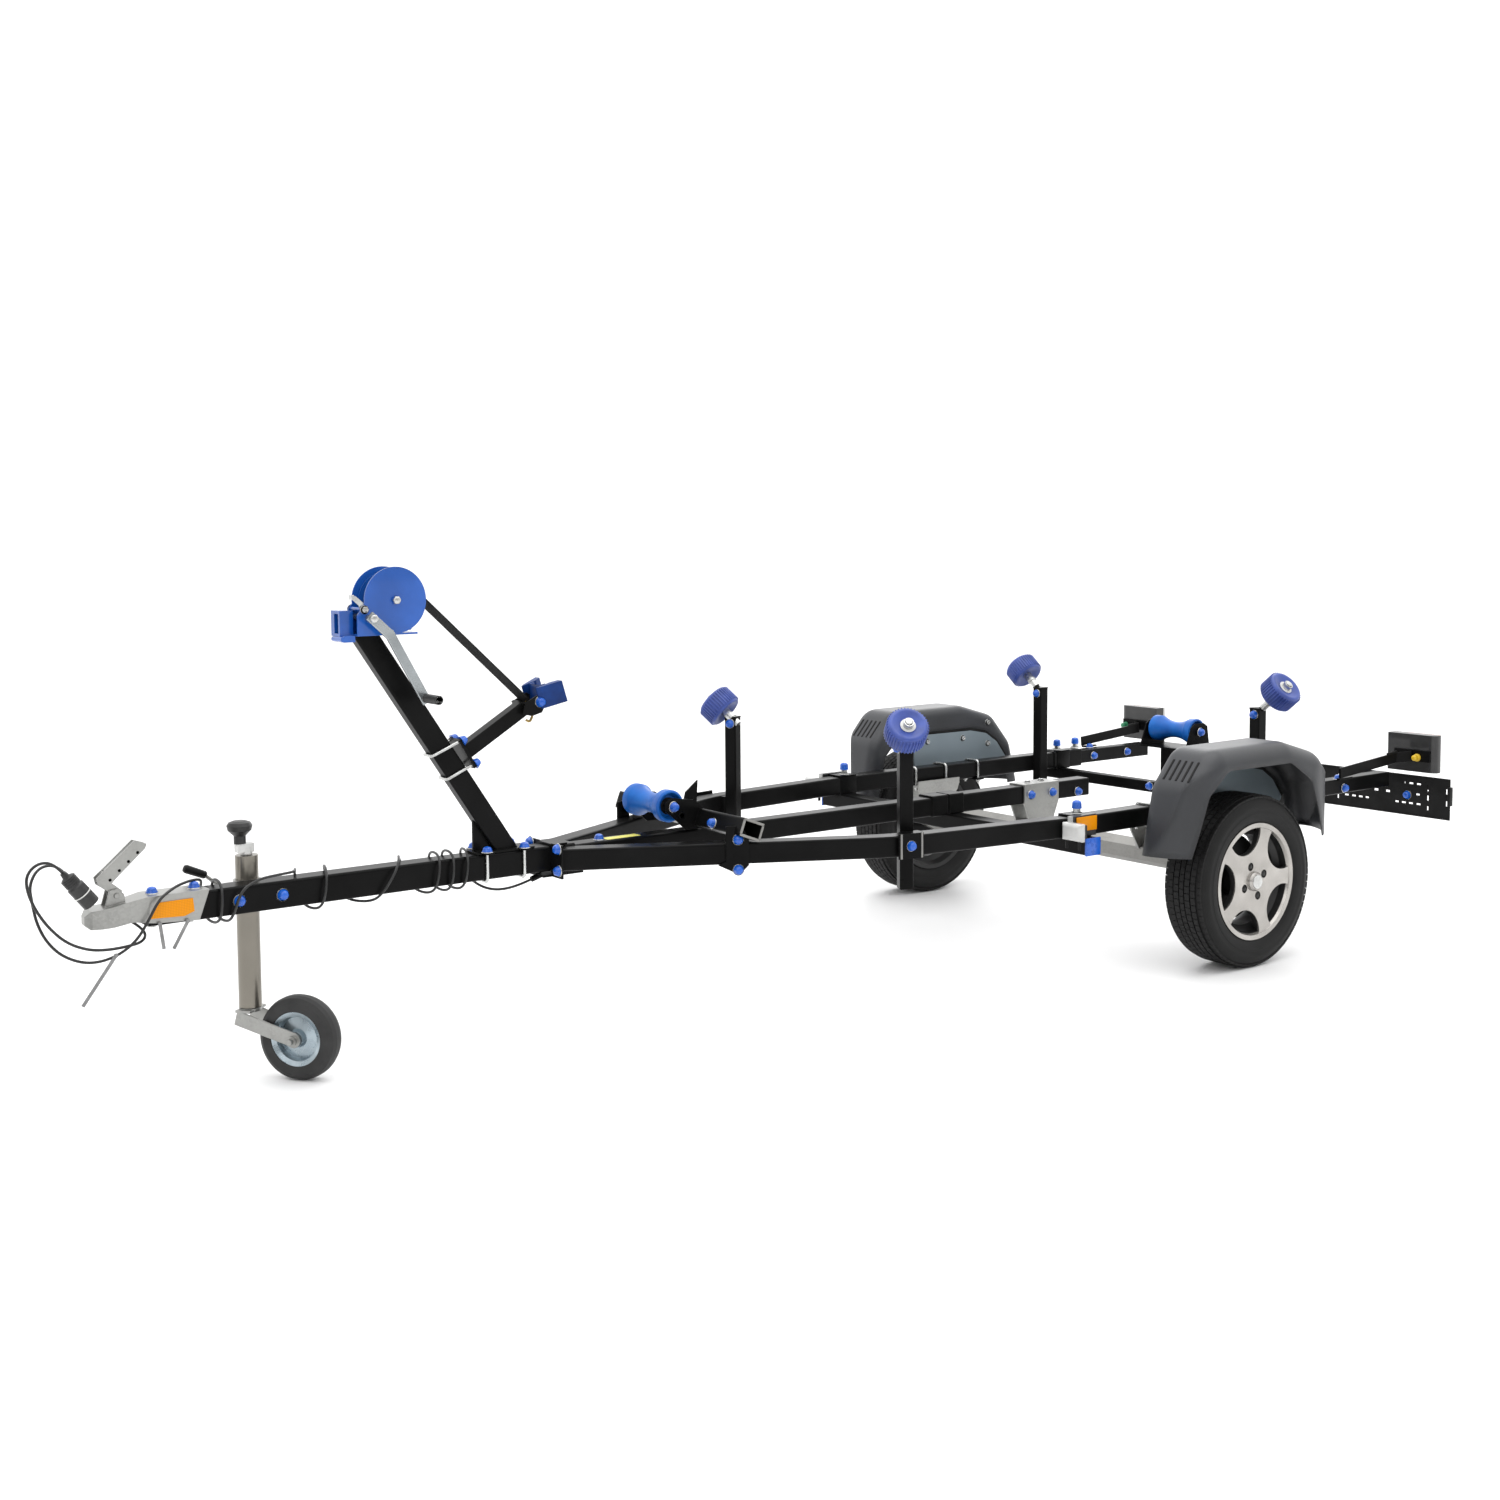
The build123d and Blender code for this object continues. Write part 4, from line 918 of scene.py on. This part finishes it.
def road_tyre(side, label):
    """Tyre with a rounded wall and blocks on its tread; side is -1 on the left."""
    half = [(0.0615, 0.1706), (0.0640, 0.1760), (0.0656, 0.1834), (0.0690, 0.1870), (0.0728, 0.1915),
            (0.0752, 0.2000), (0.0770, 0.2090), (0.0774, 0.2160), (0.0768, 0.2165), (0.0768, 0.2290),
            (0.0770, 0.2300), (0.0762, 0.2370), (0.0738, 0.2450), (0.0690, 0.2535), (0.0640, 0.2590),
            (0.0590, 0.2618), (0.0540, TREAD_BASE_R)]
    outline = half + [(-along, radius) for along, radius in reversed(half)]
    centre = at(0.0, side * WHEEL_Y, WHEEL_R)
    block = Shape()
    pitch = 2 * pi * TREAD_BASE_R / TREAD_PITCHES
    # Rows of tread blocks: middle of the row across the tread, width, share of the pitch moved on, top radius
    rows = [(-0.0605, 0.0130, 0.0, 0.2648), (-0.0420, 0.0170, 0.5, 0.2690), (-0.0205, 0.0180, 0.0, 0.2697),
            (0.0, 0.0150, 0.5, 0.2697), (0.0205, 0.0180, 0.0, 0.2697), (0.0420, 0.0170, 0.5, 0.2690),
            (0.0605, 0.0130, 0.0, 0.2648)]
    for middle, width, moved, top in rows:
        turn = Matrix.Rotation(moved * 2 * pi / TREAD_PITCHES, 4, "Z")
        one = Shape()
        one.block((TREAD_BASE_R - TREAD_SUNK, -pitch * TREAD_SHARE, middle - width / 2),
                  (top, pitch * TREAD_SHARE, middle + width / 2))
        block.add(one.as_mesh("tread block", TYRE), turn)
    tread = grown(ROUND_AXIS, block.as_mesh("tread pitch", TYRE), count=TREAD_PITCHES, finish=TYRE)
    tyre = Shape()
    tyre.turned(outline, centre, (0, side, 0), steps=128)
    tyre.add(tread, facing(centre, (0, side, 0)))
    tyre.piece(f"road_tyre_{label}", TYRE, f"wheel_{label}", "tyre", f"tyre_{label}")


def wheel_bolts(side, label):
    """Four cone-seat bolts, darkened as painted shade in their holes, the hub cap, the dark dust disc inside
    the rim and the valve.
    """
    face = side * (WHEEL_Y + 0.049)
    places = []
    for i in range(4):
        turn = BOLT_TURN + pi / 2 * i
        places.append((BOLT_CIRCLE_R * cos(turn), face, WHEEL_R + BOLT_CIRCLE_R * sin(turn), (0, side, 0)))
    fasteners(f"wheel_bolts_{label}", places, f"wheel_{label}", "zinc", radius=0.0098, height=0.012,
              dome=0.25, finish=DARK_STEEL_AND_HOLE_SHADE)
    cap = Shape()
    cap.turned([(0.0745, 0.0), (0.0745, 0.022), (0.0768, 0.021), (0.0772, 0.014), (0.0772, 0.0)],
               at(0.0, side * WHEEL_Y, WHEEL_R), (0, side, 0))
    cap.piece(f"hub_cap_disc_{label}", BRIGHT_ZINC, f"wheel_{label}", "zinc")
    disc = Shape()
    disc.turned([(DUST_DISC_IN, DUST_DISC_HOLE_R), (DUST_DISC_IN, DUST_DISC_R),
                 (DUST_DISC_OUT, DUST_DISC_R), (DUST_DISC_OUT, DUST_DISC_HOLE_R)],
                at(0.0, side * WHEEL_Y, WHEEL_R), (0, side, 0), steps=64)
    disc.piece(f"hub_dust_disc_{label}", FRAME_BLACK, f"wheel_{label}", "black_frame")
    valve = Shape()
    valve.turned([(0.0, 0.0), (0.0, 0.0045), (0.026, 0.0040), (0.026, 0.0)],
                at(-0.126, side * (WHEEL_Y + 0.030), WHEEL_R + 0.078), (-0.25, side, 0.15), steps=16)
    valve.piece(f"valve_{label}", PLASTIC, f"wheel_{label}", "black_plastic")


def keel_roller(name, x, z, length):
    """Keel roller with hollow ends and a waist."""
    h = length / 2
    shoulder = h - 0.028
    waist = [(shoulder * cos(pi * i / 24), 0.0285 + 0.0175 * (cos(pi * i / 24)) ** 2) for i in range(25)]
    outline = [(h - 0.016, 0.0101), (h - 0.016, 0.030), (h - 0.004, 0.036), (h, 0.0385), (h, 0.0420),
               (h - 0.0035, 0.0460), *waist, (0.0035 - h, 0.0460), (-h, 0.0420), (-h, 0.0385),
               (0.004 - h, 0.036), (0.016 - h, 0.030), (0.016 - h, 0.0101)]
    roller = Shape()
    roller.turned(outline, at(x, 0.0, z), FAR, steps=64)
    roller.piece(f"ribless_{name}", KEEL_BLUE, name, "blue_roller", name)
    washers = Shape()
    for side in (-1, 1):
        middle = at(x, side * (h - 0.0155), z)
        washers.turned([(0.0, 0.0102), (0.0, 0.0240), (0.0022, 0.0240), (0.0022, 0.0102)], middle,
                       (0, side, 0))
    washers.piece(f"{name}_washers", DARK_STEEL_AND_HOLE_SHADE, "chassis", "zinc")


SIDE_ROLLERS = {"front": (-1.134, 0.457, 0.793, 28.0), "rear": (0.397, 0.588, 0.819, 0.0)}
SIDE_TILT = 40.0
SIDE_HALF = 0.0345
SIDE_RIBS = 40
COLLAR_FROM, COLLAR_TO, STEM_TO = 0.0245, 0.061, 0.089


def side_roller(row, side, label):
    """Ribbed roller on its slanting stem, with a washer and a domed nut in its hollow end."""
    x, y, z, turn = SIDE_ROLLERS[row]
    lean, turned = radians(SIDE_TILT), radians(turn)
    way = Vector((-sin(turned) * cos(lean), side * cos(turned) * cos(lean), sin(lean)))
    centre = at(x, side * y, z)
    h = SIDE_HALF
    outline = [(-h + 0.010, 0.0101), (-h + 0.010, 0.024), (-h, 0.044), (-h + 0.002, 0.054),
               (-h + 0.006, 0.0570), (-h + 0.012, 0.0582), (0.0, 0.0588), (h - 0.012, 0.0582),
               (h - 0.006, 0.0570), (h - 0.002, 0.054), (h, 0.048), (h - 0.001, 0.045), (h - 0.005, 0.034),
               (h - 0.008, 0.026), (h - 0.009, 0.024), (h - 0.009, 0.0101)]
    rib = Shape()
    rib.block((0.0560, -0.0021, 0.008 - h), (0.0617, 0.0021, h - 0.008), 0.0010)
    ribs = grown(ROUND_AXIS, rib.as_mesh("rib", SIDE_BLUE), count=SIDE_RIBS, finish=SIDE_BLUE)
    roller = Shape()
    roller.turned(outline, centre, way, steps=88)
    roller.add(ribs, facing(centre, way))
    name = f"side_roller_{row}_{label}"
    roller.piece(f"ribbed_{name}", SIDE_BLUE, name, "blue_roller", name)
    washer = Shape()
    washer.turned([(h - 0.0086, 0.0142), (h - 0.0086, 0.0225), (h - 0.0064, 0.0225), (h - 0.0064, 0.0142)],
                  centre, way)
    washer.piece(f"{name}_washer", WHITE_PLASTIC, "chassis", "zinc")
    stem = Shape()
    stem.turned([(-STEM_TO, 0.0101), (-STEM_TO, 0.0124), (-COLLAR_TO, 0.0124), (-COLLAR_TO, 0.0156),
                 (-COLLAR_FROM, 0.0156), (-COLLAR_FROM, 0.0101)], centre, way, steps=32)
    stem.turned([(h - 0.0064, 0.0141), (h - 0.0064, 0.0148), (0.0442, 0.0148), (0.0442, 0.0112),
                 (0.0440, 0.0112), (0.0440, 0.0141)], centre, way, steps=32)
    stem.piece(f"{name}_stem", BRIGHT_ZINC, "chassis", "zinc")
    end = centre + way * 0.044
    fasteners(f"{name}_nut", [(end.x - AXLE_X, end.y, end.z, way)], "chassis", "zinc", radius=0.0112,
              height=0.003, dome=0.15, finish=BRIGHT_ZINC)


cable_ties()
for wheel_side, wheel_label in ((-1, "left"), (1, "right")):
    road_tyre(wheel_side, wheel_label)
    wheel_bolts(wheel_side, wheel_label)
    for roller_row in SIDE_ROLLERS:
        side_roller(roller_row, wheel_side, wheel_label)
keel_roller("keel_roller_front", -1.700, 0.587, 0.185)
keel_roller("keel_roller_rear", 0.584, 0.629, 0.190)


# ------------------------------------------------------------------ bolts, U-bolts and caps

TUBE_FACE = (-0.934, 0.0, 0.358)
RAIL_SIDE = (-0.447, -0.894, 0.0)
BEND_SIDE = (-0.17, -0.985, 0.0)
POST_FACE = (-0.891, 0.454, 0.0)
SADDLE_TOP = 0.506
SADDLES = ((-0.575, -0.503), (0.508, 0.577))
SADDLE_HALF = 0.0345
RAIL_STUDS = (-0.530, 0.541, 0.642)
AXLE_CLAMPS = (-0.222, -0.075, 0.086)
AXLE_CLAMP_HALF = 0.0345
POST_CLAMPS = (-2.256, -2.143)


def blue_capped():
    """Places of the nuts under blue caps."""
    places = [(-3.136, 0.0, 0.510, UP), (-3.034, 0.0, 0.510, UP), (-2.934, -0.035, 0.470, NEAR),
              (-2.824, -0.035, 0.471, NEAR), (-1.882, 0.0, 0.500, UP), (1.087, -0.618, 0.414, FRONT)]
    for x in POST_CLAMPS:
        places += pair(x, 0.0400, 0.5125, UP)
    for x, y, z, way in ((-2.058, 0.075, 0.503, FRONT), (-2.058, 0.077, 0.443, FRONT),
                         (-1.700, 0.109, 0.587, NEAR), (-1.620, 0.185, 0.542, TUBE_FACE),
                         (-1.6133, 0.2976, 0.511, RAIL_SIDE), (-1.6133, 0.2976, 0.426, RAIL_SIDE),
                         (-1.1635, 0.5115, 0.472, BEND_SIDE), (-0.199, 0.036, 0.469, NEAR),
                         (-0.097, 0.036, 0.469, NEAR), (0.035, 0.030, 0.458, NEAR),
                         (0.520, 0.068, 0.420, FRONT), (-2.085, 0.037, 0.905, NEAR),
                         (-1.1248, 0.4119, 0.738, POST_FACE), (0.377, 0.4995, 0.738, FRONT),
                         (0.748, 0.570, 0.4955, UP), (0.776, 0.5755, 0.463, NEAR),
                         (0.584, 0.109, 0.629, NEAR), (0.722, 0.5245, 0.470, FAR),
                         (0.915, 0.5245, 0.470, FAR)):
        places += pair(x, y, z, way)
    return places


def capped_nuts():
    places = blue_capped()
    fasteners("blue_caps", places, "chassis", "blue_pad", sides=20, radius=CAP_R, top=0.0118, height=0.009,
              dome=0.60, finish=CAP_BLUE)
    fasteners("cap_washers", places, "chassis", "zinc", sides=24, radius=0.0166, height=0.0018,
              finish=BRIGHT_ZINC)


def rail_studs():
    """Studs up through the rails: white washer, nut and tall blue cap."""
    for name, low, high, radius, sides, dome, finish, slot in (
            ("rail_stud_washers", 0.0, 0.0026, 0.0180, 24, 0.0, WHITE_PLASTIC, "zinc"),
            ("rail_stud_nuts", 0.0026, 0.0150, 0.0120, 6, 0.0, BRIGHT_ZINC, "zinc"),
            ("rail_stud_caps", 0.0150, 0.0310, 0.0150, 20, 0.65, CAP_BLUE, "blue_pad")):
        places = [place for x in RAIL_STUDS for place in pair(x, RAIL_Y, SADDLE_TOP + low, UP)]
        fasteners(name, places, "chassis", slot, sides=sides, radius=radius, height=high - low, dome=dome,
                  finish=finish)


def bare_nuts():
    """Nuts and bolt heads that stay bare."""
    places = [(-3.136, 0.0, 0.436, DOWN), (-3.046, 0.0, 0.436, DOWN), (-2.934, 0.041, 0.470, FAR),
              (-2.824, 0.041, 0.471, FAR), (-0.180, 0.0, 0.505, UP), (-0.116, 0.0, 0.505, UP)]
    for x, y, z, way in ((-2.592, 0.040, 1.172, NEAR), (-0.060, 0.634, 0.575, FAR),
                         (0.120, 0.634, 0.575, FAR), (0.250, 0.634, 0.545, FAR),
                         (0.255, 0.640, 0.625, FAR)):
        places += pair(x, y, z, way)
    for x in AXLE_CLAMPS:
        for y in (RAIL_Y - AXLE_CLAMP_HALF, RAIL_Y + AXLE_CLAMP_HALF):
            places += pair(x, y, 0.434, DOWN)
    fasteners("bare_nuts", places, "chassis", "zinc", radius=0.0092, height=0.0075, dome=0.1,
              finish=BRIGHT_ZINC)
    fasteners("bare_nut_washers", places, "chassis", "zinc", sides=24, radius=0.0118, height=0.0016,
              finish=BRIGHT_ZINC)
    fasteners("stub_axle_nuts", pair(0.0, 0.620, WHEEL_R, FAR), "chassis", "axle_zinc", radius=0.020,
              height=0.012, finish=AXLE_ZINC)
    fasteners("keel_bracket_bolts", pair(-1.672, 0.103, 0.560, NEAR), "chassis", "zinc", radius=0.0085,
              height=0.006, finish=DARK_STEEL_AND_HOLE_SHADE)
    fasteners("drum_nuts", pair(-2.506, 0.045, 1.194, NEAR), "winch_drum", "zinc", radius=0.0115,
              height=0.006, dome=0.3, finish=BRIGHT_ZINC)
    fasteners("crank_nut", [(-2.581, -0.070, 1.150, NEAR)], "winch_crank", "zinc", radius=0.0118,
              height=0.007, dome=0.3, finish=BRIGHT_ZINC)
    fasteners("grip_end", [(-2.442, -0.1445, 0.940, NEAR)], "winch_crank", "zinc", sides=24, radius=0.0098,
              height=0.0022, finish=BRIGHT_ZINC)


def u_bolts():
    """U-bolts round the rails and the drawbar."""
    lines = []
    for side in (-1, 1):
        for x in AXLE_CLAMPS:
            inner, outer = side * (RAIL_Y - AXLE_CLAMP_HALF), side * (RAIL_Y + AXLE_CLAMP_HALF)
            top = RAIL_TOP + 0.0045
            lines.append([at(x, inner, 0.420), at(x, inner, top), at(x, outer, top), at(x, outer, 0.420)])
    for x in POST_CLAMPS:
        lines.append([at(x, -0.0400, 0.518), at(x, -0.0400, 0.4315), at(x, 0.0400, 0.4315),
                      at(x, 0.0400, 0.518)])
    rods("u_bolts", lines, "chassis", "zinc", ROD_R, 0.010, BRIGHT_ZINC)


# Two clamps hold the bow stop's arm to the leaning post: front of the post, then end at the arm's plate
ARM_WAY = Vector((0.858, 0.0, 0.513))
ARM_UP = Vector((-0.513, 0.0, 0.858))
ARM_PLATE = (-2.3035, 0.0, 0.7800)
POST_SIDE = 0.0246


def post_clamps():
    lines, ends = [], []
    for front, rise in (((-2.4047, 0.781), 0.037), ((-2.3618, 0.716), -0.037)):
        plate = at(*ARM_PLATE) + ARM_UP * rise
        tip = plate + ARM_WAY * 0.016
        across = Vector((0.0, POST_SIDE, 0.0))
        start = at(front[0], 0.0, front[1])
        lines.append([tip - across, start - across, start + across, tip + across])
        for side in (-across, across):
            nut = plate + ARM_WAY * 0.0045 + side
            ends.append((nut.x - AXLE_X, nut.y, nut.z, ARM_WAY))
    rods("post_clamps", lines, "chassis", "zinc", ROD_R, 0.008, BRIGHT_ZINC)
    fasteners("post_clamp_caps", ends, "chassis", "blue_pad", sides=20, radius=CAP_R, top=0.0100,
              height=0.012, dome=0.55, finish=CAP_BLUE)


def clamp_plates():
    """Saddles of the cross members and plates under the nuts of the clamps."""
    plates = Shape()
    for x0, x1 in SADDLES:
        low, high = RAIL_Y - SADDLE_HALF, RAIL_Y + SADDLE_HALF
        plates.block(at(x0, low, 0.5002), at(x1, high, SADDLE_TOP), 0.001)
        plates.block(at(x0, low, 0.436), at(x1, low + 0.0043, 0.505), 0.001)
        plates.block(at(x0, high - 0.0043, 0.436), at(x1, high, 0.505), 0.001)
    plates.block(at(0.070, 0.500, 0.4345), at(0.102, 0.600, 0.4395), 0.001)
    for x in POST_CLAMPS:
        plates.block(at(x - 0.014, 0.0345, 0.507), at(x + 0.014, 0.0535, 0.5125), 0.001)
    plates.bar(at(-1.2035, 0.5035, 0.472), at(-1.1235, 0.5173, 0.472), 0.0045, 0.072)
    plates.mirrored().piece("clamp_plates", FRAME_BLACK, "chassis", "black_frame")
    bolts = Shape()
    for along in (-0.034, 0.034):
        x, y = -1.1635 - along * 0.985, 0.5125 - along * 0.17
        bolts.bar(at(x, y, 0.437), at(x, y, 0.508), 0.0052, 0.0060)
    bolts.mirrored().piece("front_post_bolts", AXLE_ZINC, "chassis", "zinc")


# Section of the front keel roller's cross tube: its middle, half its width and height, and its two ways
TUBE_MIDDLE = at(-1.582, 0.320, 0.538)
TUBE_WIDE = Vector((0.934, 0.0, -0.358))
TUBE_HIGH = Vector((0.358, 0.0, 0.934))
TUBE_HALF = (0.0335, 0.0225)


def tube_ends():
    """Bare steel rims of the open ends of the front keel roller's cross tube."""
    rims = Shape()
    wide, high = TUBE_WIDE * TUBE_HALF[0], TUBE_HIGH * TUBE_HALF[1]
    for side in (-1, 1):
        rims.bar(TUBE_MIDDLE + side * high - wide * 1.07, TUBE_MIDDLE + side * high + wide * 1.07, 0.0024,
                 0.007)
        rims.bar(TUBE_MIDDLE + side * wide - high * 0.89, TUBE_MIDDLE + side * wide + high * 0.89, 0.0024,
                 0.007)
    rims.mirrored().piece("cross_tube_rims", AXLE_ZINC, "chassis", "black_frame")


capped_nuts()
rail_studs()
bare_nuts()
u_bolts()
post_clamps()
clamp_plates()
tube_ends()


# ------------------------------------------------------------------ lamps, reflectors and trim

def reflectors():
    """Amber reflectors: on the coupling, behind the marker lamps and on the sleeves of the rails."""
    amber = Shape()
    amber.plate([(-3.135, 0.493), (-3.051, 0.494), (-3.048, 0.462), (-3.072, 0.453), (-3.158, 0.457)],
                0.0391, 0.0420)
    amber.block(at(-0.587, 0.6002, 0.461), at(-0.500, 0.6040, 0.504), 0.001)
    amber.block(at(0.592, 0.5832, 0.450), at(0.640, 0.5885, 0.499), 0.001)
    amber.mirrored().piece("side_reflectors", AMBER_LENS, "chassis", "lamp_lens")


def guard_seals():
    """Black edging between the guard's inner wall and its carrier plate."""
    seals = Shape()
    line = [(-0.190, 0.6010), (0.166, 0.6025), (0.2440, 0.5868), (0.3000, 0.5508), (0.3485, 0.4890)]
    for (x0, z0), (x1, z1) in zip(line, line[1:]):
        seals.bar(at(x0, 0.6391, z0), at(x1, 0.6391, z1), 0.0012, 0.016)
    seals.mirrored().piece("guard_seals", PLASTIC, "chassis", "black_plastic")


def end_caps():
    """Blue caps in the ends of the front cross member."""
    caps = Shape()
    caps.block(at(-0.571, 0.6205, 0.388), at(-0.507, 0.6270, 0.442), 0.0025)
    caps.mirrored().piece("cross_member_caps", CAP_BLUE, "chassis", "blue_pad")


def dark_trim():
    """Small black mouldings: tube ends, cable stubs under the marker lamps, guard ribs, a cable clip."""
    trim = Shape()
    for y in (0.588, 0.638):
        trim.turned([(0.0, 0.0), (0.0, 0.0052), (0.026, 0.0046), (0.026, 0.0)], at(-0.612, y, 0.440), DOWN,
                    steps=16)
    for i in range(5):
        y = 0.684 + 0.0235 * i
        trim.bar(at(-0.296, y, 0.6030), at(-0.246, y, 0.6592), 0.0065, 0.0030)
    trim.bar(at(1.000, 0.592, 0.5635), at(1.058, 0.592, 0.5680), 0.006, 0.007)
    trim.bar(at(1.041, 0.5500, 0.4450), at(1.041, 0.5500, 0.4950), 0.046, 0.0045)
    trim.mirrored().piece("dark_trim", PLASTIC, "chassis", "black_plastic")


def connectors():
    """Bayonet connectors in the backs of the rear lamps: yellow on the left, green on the right."""
    for side, y, name, finish in ((-1, 0.652, "left_connector", YELLOW),
                                  (1, 0.684, "right_connector", GREEN)):
        body = Shape()
        body.turned([(0.0, 0.0), (0.0, 0.0135), (0.006, 0.0135), (0.008, 0.0105), (0.022, 0.0100),
                     (0.026, 0.006), (0.026, 0.0)], at(1.0905, side * y, 0.550), FRONT, steps=24)
        body.piece(name, finish, "chassis", "lamp_lens")


def beam_label():
    """Blank yellow label on the centre beam."""
    label = Shape()
    label.block(at(-1.866, -0.021, 0.4999), at(-1.755, 0.012, 0.5007))
    label.piece("beam_label", LABEL, "chassis", "black_plastic")


def strap_hook():
    """Snap hook at the strap's end, between the bow stop's plates."""
    line = [(-2.1100, 0.0, 0.9060), (-2.0960, 0.0, 0.8900), (-2.0900, 0.0, 0.8620), (-2.0980, 0.0, 0.8480),
            (-2.1090, 0.0, 0.8540)]
    rods("strap_hook", [[at(*point) for point in line]], "chassis", "zinc", 0.0035, 0.006, HOOK_GOLD)


def lever_holes():
    """Pivot and round holes in the coupling lever's cheeks, shown by dark discs of painted shade."""
    places = []
    for x, z in ((-3.224, 0.518), (-3.236, 0.556), (-3.214, 0.576), (-3.192, 0.595), (-3.170, 0.614)):
        places += pair(x, 0.0125, z, NEAR)
    fasteners("lever_holes", places, "coupling_lever", "zinc", sides=16, radius=0.0038, top=0.0034,
              height=0.0006, finish=DARK_STEEL_AND_HOLE_SHADE)


def winch_pawl():
    """Ratchet pawl in front of the drum, between the cheeks."""
    pawl = Shape()
    pawl.plate([(-2.598, 1.165), (-2.584, 1.170), (-2.584, 1.182), (-2.612, 1.206), (-2.626, 1.210),
                (-2.624, 1.200), (-2.606, 1.184)], -0.0355, -0.0325)
    pawl.bar(at(-2.620, -0.0350, 1.204), at(-2.620, -0.0150, 1.204), 0.006, 0.012, side=REAR)
    pawl.piece("winch_pawl", BRIGHT_ZINC, "chassis", "zinc")


def clamp_grip():
    """Black grip on the jockey wheel's clamp lever."""
    a, b = at(-2.9700, 0.097, 0.5176), at(-3.0250, 0.097, 0.5419)
    grip = Shape()
    reach = (b - a).length
    grip.turned([(0.0, 0.0), (0.0, 0.0080), (0.004, 0.0100), (reach - 0.006, 0.0108),
                 (reach - 0.001, 0.0085), (reach + 0.0015, 0.0)], a, b - a, steps=24)
    grip.piece("clamp_lever_grip", PLASTIC, "chassis", "black_plastic")


# Slots through the number-plate carrier, as (y, z, width, height), mirrored about its middle
CARRIER_X = (1.0870, 1.0895)
CARRIER_Y = (-0.783, -0.250)
CARRIER_Z = (0.343, 0.487)
CARRIER_SLOTS = [(-0.770, 0.442, 0.006, 0.018), (-0.770, 0.400, 0.006, 0.018),
                 (-0.698, 0.447, 0.006, 0.022), (-0.698, 0.412, 0.006, 0.018),
                 (-0.698, 0.376, 0.006, 0.014), (-0.662, 0.457, 0.016, 0.006),
                 (-0.632, 0.457, 0.016, 0.006), (-0.601, 0.457, 0.016, 0.006),
                 (-0.662, 0.386, 0.016, 0.006), (-0.632, 0.386, 0.016, 0.006),
                 (-0.604, 0.386, 0.016, 0.006), (-0.659, 0.420, 0.014, 0.006),
                 (-0.577, 0.386, 0.014, 0.006), (-0.540, 0.419, 0.016, 0.008)]


def slotted_carrier():
    """Number-plate carrier with its slots cut through, its rim turned forward and its lugs."""
    middle = sum(CARRIER_Y) / 2
    slots = CARRIER_SLOTS + [(2 * middle - y, z, width, height) for y, z, width, height in CARRIER_SLOTS]
    boxes = [(y - w / 2, y + w / 2, z - h / 2, z + h / 2) for y, z, w, h in slots]
    ys = sorted({*CARRIER_Y, *(v for b in boxes for v in b[:2])})
    zs = sorted({*CARRIER_Z, *(v for b in boxes for v in b[2:])})
    plate = Shape()

    def solid(i, j):
        if not (0 <= i < len(ys) - 1 and 0 <= j < len(zs) - 1):
            return False
        y, z = (ys[i] + ys[i + 1]) / 2, (zs[j] + zs[j + 1]) / 2
        return not any(b[0] < y < b[1] and b[2] < z < b[3] for b in boxes)

    front, back = ([[plate.mesh.verts.new(at(x, y, z)) for z in zs] for y in ys] for x in CARRIER_X)
    for i in range(len(ys) - 1):
        for j in range(len(zs) - 1):
            if not solid(i, j):
                continue
            for sheet in (front, back):
                plate.mesh.faces.new((sheet[i][j], sheet[i + 1][j], sheet[i + 1][j + 1], sheet[i][j + 1]))
            for side, (a, b), (c, d) in ((solid(i - 1, j), (i, j), (i, j + 1)),
                                         (solid(i + 1, j), (i + 1, j), (i + 1, j + 1)),
                                         (solid(i, j - 1), (i, j), (i + 1, j)),
                                         (solid(i, j + 1), (i, j + 1), (i + 1, j + 1))):
                if not side:
                    plate.mesh.faces.new((front[a][b], front[c][d], back[c][d], back[a][b]))
    bmesh.ops.delete(plate.mesh, geom=[v for v in plate.mesh.verts if not v.link_faces], context="VERTS")
    for z in (CARRIER_Z[0], CARRIER_Z[1] - 0.003):
        plate.block(at(1.0830, CARRIER_Y[0], z), at(CARRIER_X[0] + 0.0002, CARRIER_Y[1], z + 0.003), 0.0006)
    plate.block(at(1.0700, -0.792, 0.395), at(1.0895, -0.7825, 0.460), 0.001)
    for y in (-0.700, -0.590):
        plate.block(at(1.0893, y - 0.012, 0.440), at(1.0960, y + 0.012, 0.480), 0.001)
    plate.piece("slotted_carrier", PLASTIC, "chassis", "black_plastic", "number_plate_carrier")


reflectors()
guard_seals()
end_caps()
dark_trim()
connectors()
beam_label()
strap_hook()
lever_holes()
winch_pawl()
clamp_grip()
slotted_carrier()

# ------------------------------------------------------------------ close


def corners(box):
    return [[round(float(c), 5) for c in corner] for corner in box]
